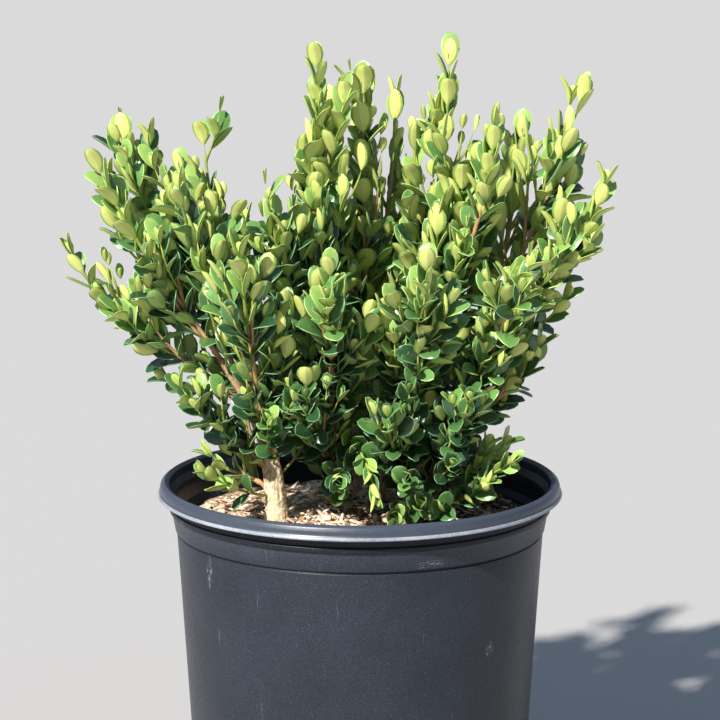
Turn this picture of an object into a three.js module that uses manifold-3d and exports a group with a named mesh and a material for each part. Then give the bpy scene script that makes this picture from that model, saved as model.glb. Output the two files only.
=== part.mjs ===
// A young, unclipped boxwood in a round black nursery pot.
//
// Millimetres, +Z up. The pot's axis is the z axis and its flat underside lies on z = 0. -Y is the front.
// Several woody stems rise from the potting mix. Each stem carries boughs, and each bough ends in one mass
// of foliage: twigs that branch from a leader by a seeded rule, with pairs of cupped leaves fused on.
// Every mass keeps to the space that is nearer to its own leader than to any other, and clear of the wood.

import * as THREE from "three";
import { mergeVertices } from "three/addons/utils/BufferGeometryUtils.js";
import Module from "manifold-3d";

const wasm = await Module();
wasm.setup();

// Driving dimensions

const gap = 0.35; // between pieces that touch in the real plant

const pot = {
  height: 216,
  rimRadius: 114.7,
  mouthRadius: 108.4,
  lipHeight: 8.4,
  lipRound: 4, // height of the lip's rounded top
  lipSteps: 4,
  neckRadius: 107.2,
  bandTop: 199.7,
  bandBottom: 188.7,
  bandOut: 0.9, // how far the band's foot stands out from the body
  bead: { height: 2.4, out: 1, slope: 0.7 }, // a thin ring between the band and the lip
  bodyRadius: 104.1, // at the foot of the band
  baseRadius: 93,
  cornerRadius: 5,
  wall: 1.7,
  floor: 2.6,
  shoulder: { top: 9.5, ledge: 20.2, foot: 24.4, out: 2.1 }, // inside: depths below the rim, and its width
  sides: 30,
};

const drain = { count: 5, radius: 7, length: 26, inset: 2, sides: 6, tilt: Math.PI / 4 };

const mix = { edge: 191, crown: 195 }; // height of the potting mix at the wall and at the axis

// A leaf halfway up. Leaves are larger than this low in the crown and smaller at its tips.
// `base` is the height of the face of the twig it grows from, `free` the part of it left out of the tests.
const leaf = {
  length: 30,
  width: 20,
  widest: 0.55, // share of its length
  endWidth: 0.6, // share of its width
  thickness: 1.3,
  cup: 2.2,
  base: 2.2,
  free: 3,
};
const leafScale = { low: 1.14, high: 0.86, lowAt: 240, highAt: 430, tip: 0.78 };
const smallerLeaves = [1, 0.8, 0.64]; // a leaf with no room for its full size is tried smaller

// Twigs are square, so that each pair of leaves grows from two opposite faces and the next from the others.
const twig = { leaderRadius: 1.9, shootRadius: 1.4, tipRadius: 1.1 };

const spaceMargin = 1; // between a leaf and the next mass's space
const woodMargin = { leaf: 1.2, twig: 2.2 };
const potMargin = { mouth: 6, above: 2 }; // between foliage and the pot's mouth, rim and potting mix
const ballStep = 4; // between the balls that stand for a limb in the tests
const clearStep = 0.002; // in the search for where a branch leaves its stem, as a share of it
const shootSamples = [0.4, 0.6, 0.8, 1]; // where a side shoot is tested
const shootRoot = 0.3; // share of a side shoot that may lie against its leader
const leastLeaves = 2; // on a side shoot that is kept
const freshAbove = 400; // a mass whose tip is higher has fresh green leaves

const growth = {
  seed: 56689, // of the first mass
  seedStep: 37, // from each mass to the next
  turn: Math.PI * (3 - Math.sqrt(5)), // from one side shoot to the next
  turnVaries: 0.5,
  leaderPitch: 23, // along a leader, from one pair of leaves to the next
  shootPitch: 25, // the same along a side shoot
  firstPair: 12,
  branchTurn: 0.6, // share of the way to its tip in a branch's first direction
  shootsBelow: 0.62, // share of a leader that bears side shoots
  firstShoot: 0.3, // how far into its part of the leader each side shoot springs
  shootSpread: { lowest: 0.4, highest: 0.2 }, // radians between a leader and its side shoots
  shootReach: { lowest: 0.5, highest: 0.26, more: 10 }, // share of the leader's length, and mm more
  reachVaries: [0.85, 1.1],
  shootRise: 0.7, // share of straight up in a side shoot's last part
  leafOpen: 1.0, // radians between a shoot and its lowest leaves
  leafShut: 0.38, // the same at the shoot's tip
};

// Stems: foot and top on the pot's plan, height of the top, radii at foot and top.
// The foot widens into a root flare over `flare` mm.

const flare = 16;
const stems = {
  left: { foot: [-47, -12], top: [-54, -8, 244], radius: 6.2, topRadius: 4.9, flareBy: 1.35 },
  centre_left: { foot: [-14, 30], top: [-22, 20, 276], radius: 2.7, topRadius: 2.1, flareBy: 1.3 },
  centre: { foot: [14, 38], top: [6, 40, 280], radius: 2.5, topRadius: 2, flareBy: 1.3 },
  centre_right: { foot: [28, 14], top: [35, 6, 276], radius: 2.5, topRadius: 2, flareBy: 1.3 },
  right: { foot: [39, -2], top: [62, 0, 276], radius: 3.1, topRadius: 2.4, flareBy: 1.35 },
  back: { foot: [-2, 64], top: [4, 82, 264], radius: 2.9, topRadius: 2.2, flareBy: 1.3 },
};

// Masses: the stem each grows from and how far up, the point its highest leaf reaches, the share of the
// branch that is bare bough, the number of side shoots, and the share of straight up in its last part.
// A mass with no bare share springs from its stem with no bough.

const masses = {
  far_left: { stem: "left", along: 0.98, tip: [-164.5, -12, 357], bare: 0.3, shoots: 2, rise: 0.45 },
  side_left: { stem: "left", along: 0.9, tip: [-146, -34, 406], bare: 0.3, shoots: 3, rise: 0.25 },
  upper_left: { stem: "left", along: 1.0, tip: [-134.5, 6, 430], bare: 0.32, shoots: 4, rise: 0.6 },
  mid_left: { stem: "left", along: 0.8, tip: [-99, -32, 406], bare: 0.24, shoots: 4, rise: 0.6 },
  back_left: { stem: "left", along: 0.7, tip: [-91, 58, 413], bare: 0.34, shoots: 2, rise: 0.6 },
  front_left: { stem: "left", along: 0.6, tip: [-64, -78, 366], bare: 0.18, shoots: 3, rise: 0.5 },
  low_left: { stem: "left", along: 0.5, tip: [-104, -38, 286], bare: 0, shoots: 2, rise: 0.3 },
  low_side_left: { stem: "left", along: 0.3, tip: [-92, -4, 240], bare: 0, shoots: 1, rise: 0.3 },
  inner_left: { stem: "centre_left", along: 0.5, tip: [-50, -20, 386], bare: 0.2, shoots: 4, rise: 0.6 },
  spire_left: { stem: "centre_left", along: 1, tip: [-24, 0, 461], bare: 0, shoots: 5, rise: 0.8 },
  front_centre: { stem: "centre_left", along: 0.3, tip: [-16, -88, 358], bare: 0.22, shoots: 4, rise: 0.5 },
  low_centre: { stem: "centre_left", along: 0.12, tip: [-30, -62, 292], bare: 0, shoots: 3, rise: 0.4 },
  spire_middle: { stem: "centre", along: 1, tip: [2, 14, 446], bare: 0, shoots: 4, rise: 0.8 },
  spire_rear: { stem: "centre", along: 0.8, tip: [21, 58, 437], bare: 0.16, shoots: 3, rise: 0.5 },
  back_centre: { stem: "centre", along: 0.4, tip: [-34, 118, 392], bare: 0.3, shoots: 4, rise: 0.6 },
  spire_tall: { stem: "centre_right", along: 1, tip: [49, -6, 463], bare: 0, shoots: 5, rise: 0.8 },
  inner_right: { stem: "centre_right", along: 0.75, tip: [74, -34, 430], bare: 0.18, shoots: 4, rise: 0.7 },
  front_right: { stem: "centre_right", along: 0.3, tip: [36, -90, 360], bare: 0.2, shoots: 4, rise: 0.5 },
  low_front: { stem: "centre_right", along: 0.1, tip: [14, -70, 275], bare: 0, shoots: 3, rise: 0.4 },
  upper_right: { stem: "right", along: 0.9, tip: [93, 40, 418], bare: 0.24, shoots: 4, rise: 0.7 },
  right_tip: { stem: "right", along: 1, tip: [119, 10, 440], bare: 0.26, shoots: 3, rise: 0.5 },
  far_right: { stem: "right", along: 0.8, tip: [137, -18, 397], bare: 0.2, shoots: 4, rise: 0.55 },
  right_front: { stem: "right", along: 0.6, tip: [92, -72, 358], bare: 0.22, shoots: 3, rise: 0.5 },
  right_side: { stem: "right", along: 0.4, tip: [104, -20, 306], bare: 0.16, shoots: 3, rise: 0.4 },
  low_right: { stem: "right", along: 0.16, tip: [86, -30, 250], bare: 0, shoots: 2, rise: 0.3 },
  low_right_front: { stem: "right", along: 0.3, tip: [60, -70, 284], bare: 0, shoots: 3, rise: 0.4 },
  back_low_left: { stem: "back", along: 0.5, tip: [-88, 100, 330], bare: 0.24, shoots: 3, rise: 0.4 },
  back_low: { stem: "back", along: 0.75, tip: [2, 146, 322], bare: 0.24, shoots: 4, rise: 0.3 },
  back_right: { stem: "back", along: 1, tip: [70, 106, 390], bare: 0.26, shoots: 3, rise: 0.6 },
  back_low_right: { stem: "back", along: 0.4, tip: [104, 78, 306], bare: 0.26, shoots: 3, rise: 0.3 },
};

const bough = { radius: 2.5, tipRadius: 1.7, sides: 5, stepLength: 22 };
const stemShape = { sides: 6, steps: 6, knee: 0.45 }; // it is upright as far as its knee

// Helpers

const up = new THREE.Vector3(0, 0, 1);

// Park-Miller numbers from 0 to 1, the same in any language.
function seeded(seed) {
  let state = seed;
  return () => {
    state = (state * 16807) % 2147483647;
    return state / 2147483647;
  };
}

const between = (a, b, share) => a + (b - a) * share;

// The size of a leaf at a height, and at a share of its shoot, beside one halfway up the crown.
function leafScaleAt(height, share) {
  const rise = (height - leafScale.lowAt) / (leafScale.highAt - leafScale.lowAt);
  const byHeight = between(leafScale.low, leafScale.high, Math.min(1, Math.max(0, rise)));
  return byHeight * between(1, leafScale.tip, share);
}

// The height of the potting mix at a distance from the pot's axis.
const mixHeight = (radius) => between(mix.crown, mix.edge, radius / pot.bodyRadius);

function solidOf(geometry) {
  const bare = geometry.clone();
  bare.deleteAttribute("normal");
  bare.deleteAttribute("uv");
  const merged = mergeVertices(bare, 1e-4);
  return new wasm.Manifold(
    new wasm.Mesh({
      numProp: 3,
      vertProperties: new Float32Array(merged.attributes.position.array),
      triVerts: new Uint32Array(merged.index.array),
    }),
  );
}

const closedMesh = (points, faces) =>
  solidOf(new THREE.BufferGeometry().setFromPoints(points).setIndex(faces));

function geometryOf(solid) {
  const mesh = solid.getMesh();
  return new THREE.BufferGeometry()
    .setAttribute("position", new THREE.BufferAttribute(mesh.vertProperties, 3))
    .setIndex(new THREE.BufferAttribute(mesh.triVerts, 1));
}

// The largest body of a solid: loose scraps are dropped, and sealed hollows filled.
const wholeOf = (solid) => solid.decompose().reduce((a, b) => (a.volume() > b.volume() ? a : b));

// Two directions square to a curve's tangent, which follow the compass bearing of +X.
function squareTo(tangent) {
  const side = new THREE.Vector3(1, 0, 0).addScaledVector(tangent, -tangent.x).normalize();
  return [side, new THREE.Vector3().crossVectors(tangent, side)];
}

// A limb: rings of `sides` points along a curve, closed by a fan at each end. radiusAt takes the share of
// the whole curve. A limb that stands on the ground has its first ring level.
function limb(curve, radiusAt, { sides, steps, to = 1, level = false }) {
  const points = [];
  for (let i = 0; i <= steps; i++) {
    const t = (to * i) / steps;
    const centre = curve.getPoint(t);
    const tangent = level && i === 0 ? up : curve.getTangent(t);
    const [side, across] = squareTo(tangent);
    for (let k = 0; k < sides; k++) {
      const angle = (2 * Math.PI * k) / sides;
      points.push(
        centre
          .clone()
          .addScaledVector(side, radiusAt(t) * Math.cos(angle))
          .addScaledVector(across, radiusAt(t) * Math.sin(angle)),
      );
    }
  }
  const faces = [];
  for (let i = 0; i < steps; i++)
    for (let k = 0; k < sides; k++) {
      const [a, b] = [i * sides + k, i * sides + ((k + 1) % sides)];
      faces.push(a, b, b + sides, a, b + sides, a + sides);
    }
  const last = steps * sides;
  for (let k = 1; k < sides - 1; k++) faces.push(0, k + 1, k, last, last + k, last + k + 1);
  return closedMesh(points, faces);
}

// Wood

function stemCurve({ foot, top }) {
  const ground = mixHeight(Math.hypot(...foot)) + gap;
  const base = new THREE.Vector3(foot[0], foot[1], ground);
  const tip = new THREE.Vector3(...top);
  const knee = new THREE.Vector3(foot[0], foot[1], between(ground, tip.z, stemShape.knee));
  return new THREE.QuadraticBezierCurve3(base, knee, tip);
}

// The stem's radius, with the root flare at its foot.
function stemRadius({ radius, topRadius, flareBy }, length) {
  return (t) => {
    const rise = Math.max(0, 1 - (t * length) / flare);
    return between(radius, topRadius, t) * (1 + (flareBy - 1) * rise * rise);
  };
}

// A branch leaves its stem between the stem's direction and the way to its tip, and turns up at its end.
function branchCurve({ along, tip, rise }, stem) {
  const start = stem.curve.getPoint(along);
  const end = new THREE.Vector3(...tip);
  const way = end.clone().sub(start);
  const reach = way.length() / 3;
  way.normalize();
  const first = stem.curve.getTangent(along).lerp(way, growth.branchTurn).normalize();
  const last = way.clone().lerp(up, rise).normalize();
  end.addScaledVector(last, -leaf.length * leafScaleAt(end.z, 1) * Math.cos(growth.leafShut));
  return new THREE.CubicBezierCurve3(
    start,
    start.clone().addScaledVector(first, reach),
    end.clone().addScaledVector(last, -reach),
    end,
  );
}

const boughRadius = (bare) => (t) => between(bough.radius, bough.tipRadius, t / bare);

// Samples of a limb as balls, for the tests of what touches what.
function ballsOf(curve, radiusAt, from, to) {
  const count = Math.ceil((curve.getLength() * (to - from)) / ballStep);
  return Array.from({ length: count + 1 }, (_, i) => {
    const t = between(from, to, i / count);
    return { centre: curve.getPoint(t), radius: radiusAt(t) };
  });
}

const distanceTo = (point, balls) =>
  Math.min(...balls.map(({ centre, radius }) => point.distanceTo(centre) - radius));

// The first share of a curve that is clear of some balls.
function firstClear(curve, balls, margin) {
  let t = 0;
  while (distanceTo(curve.getPoint(t), balls) < margin) t += clearStep;
  return t;
}

// Foliage

// A leaf as a thin cupped blade with a blunt tip: its root, its right, the right and left of its tip, its
// left, then the middle of its upper and lower face. Its length runs along +Y from the origin.
// `scale` is its size beside a leaf halfway up.
function bladePoints(scale, rootAt) {
  const [length, half] = [leaf.length * scale, (leaf.width * scale) / 2];
  const middle = length * leaf.widest;
  return [
    [0, rootAt, 0],
    [half, middle, 0],
    [half * leaf.endWidth, length, 0],
    [-half * leaf.endWidth, length, 0],
    [-half, middle, 0],
    [0, middle, (-leaf.cup + leaf.thickness / 2) * scale],
    [0, middle, (-leaf.cup - leaf.thickness / 2) * scale],
  ].map((p) => new THREE.Vector3(...p));
}

const bladeSides = [0, 1, 2, 3, 4];
const bladeFaces = bladeSides.flatMap((k) => {
  const next = (k + 1) % bladeSides.length;
  return [k, next, 5, next, k, 6];
});
const bladeSolid = (points) => closedMesh(points, bladeFaces);

// Where a shoot bears its pairs of leaves, as shares of its curve.
function nodesOf({ curve, from, pitch }) {
  const length = curve.getLength();
  const first = from + growth.firstPair / length;
  const last = 1 - leaf.base / 2 / length;
  const pairs = Math.max(1, Math.round(((last - first) * length) / pitch) + 1);
  if (pairs === 1) return [last];
  return Array.from({ length: pairs }, (_, i) => between(first, last, i / (pairs - 1)));
}

// The outward direction of one of a twig's four faces.
function faceDirection([side, across], turn, face) {
  const angle = turn + (face * Math.PI) / 2;
  return side.clone().multiplyScalar(Math.cos(angle)).addScaledVector(across, Math.sin(angle));
}

// The leaves of a shoot, each with its node and its face of the twig, and where it is placed.
function leavesOf(shoot) {
  const { curve, turn, radiusAt } = shoot;
  const nodes = nodesOf(shoot);
  return nodes.flatMap((t, node) => {
    const tangent = curve.getTangent(t);
    const share = nodes.length === 1 ? 1 : node / (nodes.length - 1);
    const open = between(growth.leafOpen, growth.leafShut, share);
    return [node % 2, (node % 2) + 2].map((face) => {
      const outward = faceDirection(squareTo(tangent), turn, face);
      const [cos, sin] = [Math.cos(open), Math.sin(open)];
      const axis = tangent.clone().multiplyScalar(cos).addScaledVector(outward, sin);
      const normal = tangent.clone().multiplyScalar(sin).addScaledVector(outward, -cos);
      const width = new THREE.Vector3().crossVectors(axis, normal);
      const root = curve.getPoint(t).addScaledVector(outward, radiusAt(t) * Math.SQRT1_2);
      const place = new THREE.Matrix4().makeBasis(width, axis, normal).setPosition(root);
      return { node, face, place, scale: leafScaleAt(root.z, share) };
    });
  });
}

const placedBlade = (place, scale, rootAt) => bladePoints(scale, rootAt).map((p) => p.applyMatrix4(place));

// A shoot and its kept leaves as one closed mesh. The twig's rings come in pairs, below and above each node
// that bears a leaf, and a leaf takes the place of its face of the twig between them.
function leafyShoot(shoot, kept) {
  const { curve, from, turn, radiusAt } = shoot;
  const halfBase = leaf.base / 2 / curve.getLength();
  const nodes = nodesOf(shoot);
  const bearing = nodes.map((_, node) => node).filter((node) => kept.some((blade) => blade.node === node));
  const last = nodes.length - 1;
  if (!bearing.includes(last)) bearing.push(last);
  const rings = [from, ...bearing.flatMap((node) => [nodes[node] - halfBase, nodes[node] + halfBase])];
  const points = rings.flatMap((t) => {
    const frame = squareTo(curve.getTangent(t));
    return [0, 1, 2, 3].map((corner) =>
      curve.getPoint(t).addScaledVector(faceDirection(frame, turn, corner - 0.5), radiusAt(t)),
    );
  });
  const top = points.length - 4;
  const faces = [0, 3, 2, 0, 2, 1, top, top + 1, top + 2, top, top + 2, top + 3];
  for (let ring = 0; ring < rings.length - 1; ring++)
    for (let face = 0; face < 4; face++) {
      const [a, b] = [ring * 4 + face, ring * 4 + ((face + 1) % 4)];
      const [above, next] = [a + 4, b + 4];
      const node = bearing[(ring - 1) / 2];
      const borne = kept.find((blade) => blade.node === node && blade.face === face);
      if (!borne) {
        faces.push(a, b, next, a, next, above);
        continue;
      }
      const right = points.length;
      const [endRight, endLeft, left, upper, lower] = [1, 2, 3, 4, 5].map((i) => right + i);
      points.push(...borne.blade.slice(1));
      faces.push(a, b, lower, b, next, left, next, above, upper, above, a, right);
      faces.push(lower, b, left, left, next, upper, upper, above, right, right, a, lower);
      faces.push(upper, right, endRight, upper, endRight, endLeft, upper, endLeft, left);
      faces.push(lower, endRight, right, lower, endLeft, endRight, lower, left, endLeft);
    }
  return closedMesh(points, faces);
}

// Side shoots spring from the leader a golden turn apart and bend up. They get shorter towards the tip.
function sideShoots(leader, from, count, random) {
  const length = leader.getLength() * (1 - from);
  const firstBearing = random() * 2 * Math.PI;
  return Array.from({ length: count }, (_, k) => {
    const rank = (k + growth.firstShoot) / count;
    const t = between(from, 1, rank * growth.shootsBelow);
    const bearing = firstBearing + k * growth.turn + (random() - 0.5) * growth.turnVaries;
    const outward = new THREE.Vector3(Math.cos(bearing), Math.sin(bearing), 0);
    const spread = between(growth.shootSpread.lowest, growth.shootSpread.highest, rank);
    const way = leader
      .getTangent(t)
      .multiplyScalar(Math.cos(spread))
      .addScaledVector(outward, Math.sin(spread))
      .normalize();
    const { lowest, highest, more } = growth.shootReach;
    const usual = length * between(lowest, highest, rank) + more;
    const reach = usual * between(...growth.reachVaries, random());
    const start = leader.getPoint(t);
    const knee = start.clone().addScaledVector(way, reach / 2);
    const end = knee.clone().addScaledVector(way.clone().lerp(up, growth.shootRise).normalize(), reach / 2);
    return new THREE.QuadraticBezierCurve3(start, knee, end);
  });
}

// The potting mix and the pot's mouth, as a test on a point of foliage.
function clearOfPot(point) {
  const radius = Math.hypot(point.x, point.y);
  if (point.z > pot.height + potMargin.above) return true;
  return radius < pot.mouthRadius - potMargin.mouth && point.z > mixHeight(radius) + potMargin.above;
}

const middleOf = (a, b) => a.clone().add(b).multiplyScalar(0.5);

// Points that stand for a whole leaf in the tests: its corners and the middles of its edges.
const leafSamples = (points) => [
  ...points,
  ...bladeSides.map((k) => middleOf(points[k], points[(k + 1) % bladeSides.length])),
];

// Everything together

const bark = new THREE.MeshStandardMaterial({ color: 0xa98658, roughness: 0.9, metalness: 0 });
const paleBark = new THREE.MeshStandardMaterial({ color: 0xcaa878, roughness: 0.9, metalness: 0 });
const plastic = new THREE.MeshStandardMaterial({ color: 0x33353b, roughness: 0.5, metalness: 0 });
const pottingMix = new THREE.MeshStandardMaterial({ color: 0x6d5140, roughness: 1, metalness: 0 });
const freshLeaf = new THREE.MeshStandardMaterial({ color: 0x9fb63c, roughness: 0.45, metalness: 0 });
const deepLeaf = new THREE.MeshStandardMaterial({ color: 0x2f5c2c, roughness: 0.4, metalness: 0 });

const plant = new THREE.Group();

function add(name, solid, material) {
  const mesh = new THREE.Mesh(geometryOf(solid), material);
  mesh.name = name;
  plant.add(mesh);
}

// The profile is drawn from the axis under the floor, up the outside, over the lip and down the inside.
function potProfile() {
  const { height, rimRadius, mouthRadius, lipHeight, lipRound, lipSteps, neckRadius, bead } = pot;
  const { bandTop, bandBottom, bandOut, bodyRadius, baseRadius, cornerRadius } = pot;
  const { wall, floor, shoulder } = pot;
  const lipFoot = height - lipHeight;
  const beadTop = bandTop + bead.height;
  const lip = { middle: (rimRadius + mouthRadius) / 2, half: (rimRadius - mouthRadius) / 2 };
  const roundedLip = Array.from({ length: lipSteps + 1 }, (_, i) => {
    const angle = (Math.PI * i) / lipSteps;
    return [lip.middle + lip.half * Math.cos(angle), height - lipRound * (1 - Math.sin(angle))];
  });
  return [
    [0, 0],
    [baseRadius - cornerRadius, 0],
    [baseRadius, cornerRadius],
    [bodyRadius, bandBottom - bandOut],
    [bodyRadius + bandOut, bandBottom],
    [neckRadius, bandTop - bead.slope],
    [neckRadius + bead.out, bandTop],
    [neckRadius + bead.out, beadTop],
    [neckRadius, beadTop + bead.slope],
    [neckRadius, lipFoot],
    [rimRadius, lipFoot],
    ...roundedLip,
    [neckRadius - wall, height - shoulder.top],
    [bodyRadius - wall + shoulder.out, height - shoulder.ledge],
    [bodyRadius - wall, height - shoulder.foot],
    [baseRadius - wall, floor + cornerRadius],
    [baseRadius - wall - cornerRadius, floor],
    [0, floor],
  ];
}

function turned(profile) {
  const points = profile.map(([radius, height]) => new THREE.Vector2(radius, height));
  return solidOf(new THREE.LatheGeometry(points, pot.sides).rotateX(Math.PI / 2));
}

function drainCutter(index) {
  const hole = new THREE.CylinderGeometry(drain.radius, drain.radius, drain.length, drain.sides);
  hole.rotateZ(drain.tilt);
  hole.translate(pot.baseRadius - drain.inset, drain.inset, 0);
  hole.rotateX(Math.PI / 2);
  hole.rotateZ(((index + 0.5) * 2 * Math.PI) / drain.count);
  return solidOf(hole);
}

const drains = Array.from({ length: drain.count }, (_, i) => drainCutter(i));
add("pot", drains.reduce((shell, cutter) => shell.subtract(cutter), turned(potProfile())), plastic);

const mixRadius = pot.baseRadius - pot.wall - gap;
const mixTop = pot.bodyRadius - pot.wall - gap;
add(
  "potting_mix",
  turned([
    [0, pot.floor + gap],
    [mixRadius - pot.cornerRadius - gap, pot.floor + gap],
    [mixRadius, pot.floor + pot.cornerRadius + gap],
    [mixTop, mixHeight(mixTop)],
    [0, mixHeight(0)],
  ]),
  pottingMix,
);

// Every stem and bough so far, as balls and as a solid grown by the gap.
const wood = [];

for (const [name, plan] of Object.entries(stems)) {
  const curve = stemCurve(plan);
  const radiusAt = stemRadius(plan, curve.getLength());
  plan.curve = curve;
  plan.balls = ballsOf(curve, radiusAt, 0, 1);
  wood.push({ balls: plan.balls, grown: limb(curve, (t) => radiusAt(t) + gap, stemShape) });
  const shape = { ...stemShape, level: true };
  add("stem_" + name, limb(curve, radiusAt, shape), name === "left" ? paleBark : bark);
}

const plans = Object.entries(masses).map(([name, plan], index) => {
  const curve = branchCurve(plan, stems[plan.stem]);
  return { name, index, ...plan, curve };
});

for (const plan of plans) {
  if (!plan.bare) {
    plan.from = firstClear(plan.curve, stems[plan.stem].balls, twig.leaderRadius + gap);
    continue;
  }
  const radiusAt = boughRadius(plan.bare);
  const steps = Math.ceil((plan.curve.getLength() * plan.bare) / bough.stepLength);
  const shape = { sides: bough.sides, steps, to: plan.bare };
  const cut = wood.reduce((solid, other) => solid.subtract(other.grown), limb(plan.curve, radiusAt, shape));
  add("bough_" + plan.name, wholeOf(cut), bark);
  plan.from = plan.bare + gap / plan.curve.getLength();
  wood.push({
    balls: ballsOf(plan.curve, radiusAt, 0, plan.bare),
    grown: limb(plan.curve, (t) => radiusAt(t) + gap, shape),
  });
}

// A mass's own space is what is nearer to its leader than to any other leader.
for (const plan of plans) plan.line = ballsOf(plan.curve, () => 0, plan.from, 1);

function inOwnSpace(point, plan) {
  const own = distanceTo(point, plan.line);
  return plans.every((other) => other === plan || distanceTo(point, other.line) - own > spaceMargin);
}

const clearOfWood = (point, margin) => wood.every(({ balls }) => distanceTo(point, balls) > margin);
const fits = (point, plan, margin) =>
  inOwnSpace(point, plan) && clearOfWood(point, margin) && clearOfPot(point);

const leaderOf = ({ curve, from }, turn) => ({
  curve,
  from,
  turn,
  pitch: growth.leaderPitch,
  radiusAt: (t) => between(twig.leaderRadius, twig.tipRadius, (t - from) / (1 - from)),
});

const sideShootOf = (curve, turn) => ({
  curve,
  from: 0,
  turn,
  pitch: growth.shootPitch,
  radiusAt: (t) => between(twig.shootRadius, twig.tipRadius, t),
});

// The twigs come first: every leader, then the side shoots that have room.
for (const plan of plans) {
  plan.random = seeded(growth.seed + growth.seedStep * plan.index);
  plan.leader = leaderOf(plan, plan.random() * Math.PI);
}
const grownWood = wasm.Manifold.union(wood.map(({ grown }) => grown));
let twigs = wasm.Manifold.union(plans.map(({ leader }) => leafyShoot(leader, [])));

for (const plan of plans) {
  plan.side = sideShoots(plan.curve, plan.from, plan.shoots, plan.random)
    .map((curve) => sideShootOf(curve, plan.random() * Math.PI))
    .filter((shoot) => {
      const samples = shootSamples.map((share) => shoot.curve.getPoint(share));
      const free = leafyShoot({ ...shoot, from: shootRoot }, []);
      const room =
        samples.every((point) => fits(point, plan, woodMargin.twig)) &&
        grownWood.intersect(free).isEmpty() &&
        twigs.intersect(free).isEmpty();
      if (room) twigs = twigs.add(leafyShoot(shoot, []));
      return room;
    });
}

// Then the leaves, each in the largest size that has room.
let filled = grownWood.add(twigs);

for (const plan of plans) {
  let own = wasm.Manifold.union([]);
  const sprays = [plan.leader, ...plan.side].map((shoot) => {
    const kept = [];
    for (const { node, face, place, scale } of leavesOf(shoot))
      for (const share of smallerLeaves) {
        const blade = placedBlade(place, scale * share, 0);
        if (!leafSamples(blade).every((point) => fits(point, plan, woodMargin.leaf))) continue;
        const free = bladeSolid(placedBlade(place, scale * share, leaf.free));
        if (!filled.intersect(free).isEmpty() || !own.intersect(free).isEmpty()) continue;
        own = own.add(free);
        kept.push({ node, face, blade });
        break;
      }
    return { solid: leafyShoot(shoot, kept), wanted: shoot === plan.leader || kept.length >= leastLeaves };
  });
  const grown = sprays.filter(({ wanted }) => wanted).map((spray) => spray.solid);
  const solid = wholeOf(wasm.Manifold.union(grown));
  filled = filled.add(solid);
  add("foliage_" + plan.name, solid, plan.tip[2] > freshAbove ? freshLeaf : deepLeaf);
}

export default plant;
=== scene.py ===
"""The finished look of a young, unclipped boxwood in a round black nursery pot.

Metres, +Z up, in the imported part's own frame: the pot's underside lies on z = 0 and -Y is the front.
The masses of foliage grow by the part's rule, which is written again here and carried to finer twigs.
"""

import math
from dataclasses import dataclass

import bmesh
import bpy
import numpy as np
from mathutils import Euler, Matrix, Vector, noise
from mathutils.kdtree import KDTree


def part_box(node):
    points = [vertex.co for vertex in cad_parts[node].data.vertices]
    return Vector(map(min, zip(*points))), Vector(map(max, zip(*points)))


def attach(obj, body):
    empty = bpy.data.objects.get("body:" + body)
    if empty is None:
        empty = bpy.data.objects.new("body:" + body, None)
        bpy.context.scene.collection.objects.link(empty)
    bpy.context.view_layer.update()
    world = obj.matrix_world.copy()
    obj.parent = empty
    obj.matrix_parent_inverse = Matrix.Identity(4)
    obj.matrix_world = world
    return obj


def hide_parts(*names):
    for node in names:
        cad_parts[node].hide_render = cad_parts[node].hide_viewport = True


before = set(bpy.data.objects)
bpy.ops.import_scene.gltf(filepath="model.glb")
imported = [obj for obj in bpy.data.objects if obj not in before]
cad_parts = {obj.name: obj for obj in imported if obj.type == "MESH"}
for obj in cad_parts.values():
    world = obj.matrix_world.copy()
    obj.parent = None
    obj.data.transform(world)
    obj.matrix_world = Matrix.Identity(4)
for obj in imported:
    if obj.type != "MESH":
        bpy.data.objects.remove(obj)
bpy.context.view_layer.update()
UP = Vector((0, 0, 1))
TURN = 2 * math.pi


# The plant's plan, as in the part's source

STEMS = {
    "left": dict(foot=(-0.047, -0.012), top=(-0.054, -0.008, 0.244), radii=(0.0062, 0.0049), flare=1.35),
    "centre_left": dict(foot=(-0.014, 0.03), top=(-0.022, 0.02, 0.276), radii=(0.0027, 0.0021), flare=1.3),
    "centre": dict(foot=(0.014, 0.038), top=(0.006, 0.04, 0.28), radii=(0.0025, 0.002), flare=1.3),
    "centre_right": dict(foot=(0.028, 0.014), top=(0.035, 0.006, 0.276), radii=(0.0025, 0.002), flare=1.3),
    "right": dict(foot=(0.039, -0.002), top=(0.062, 0, 0.276), radii=(0.0031, 0.0024), flare=1.35),
    "back": dict(foot=(-0.002, 0.064), top=(0.004, 0.082, 0.264), radii=(0.0029, 0.0022), flare=1.3),
}
FLARE_RISE = 0.016
STEM_KNEE = 0.45  # the share of a stem's height where it leaves the plumb line

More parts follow.
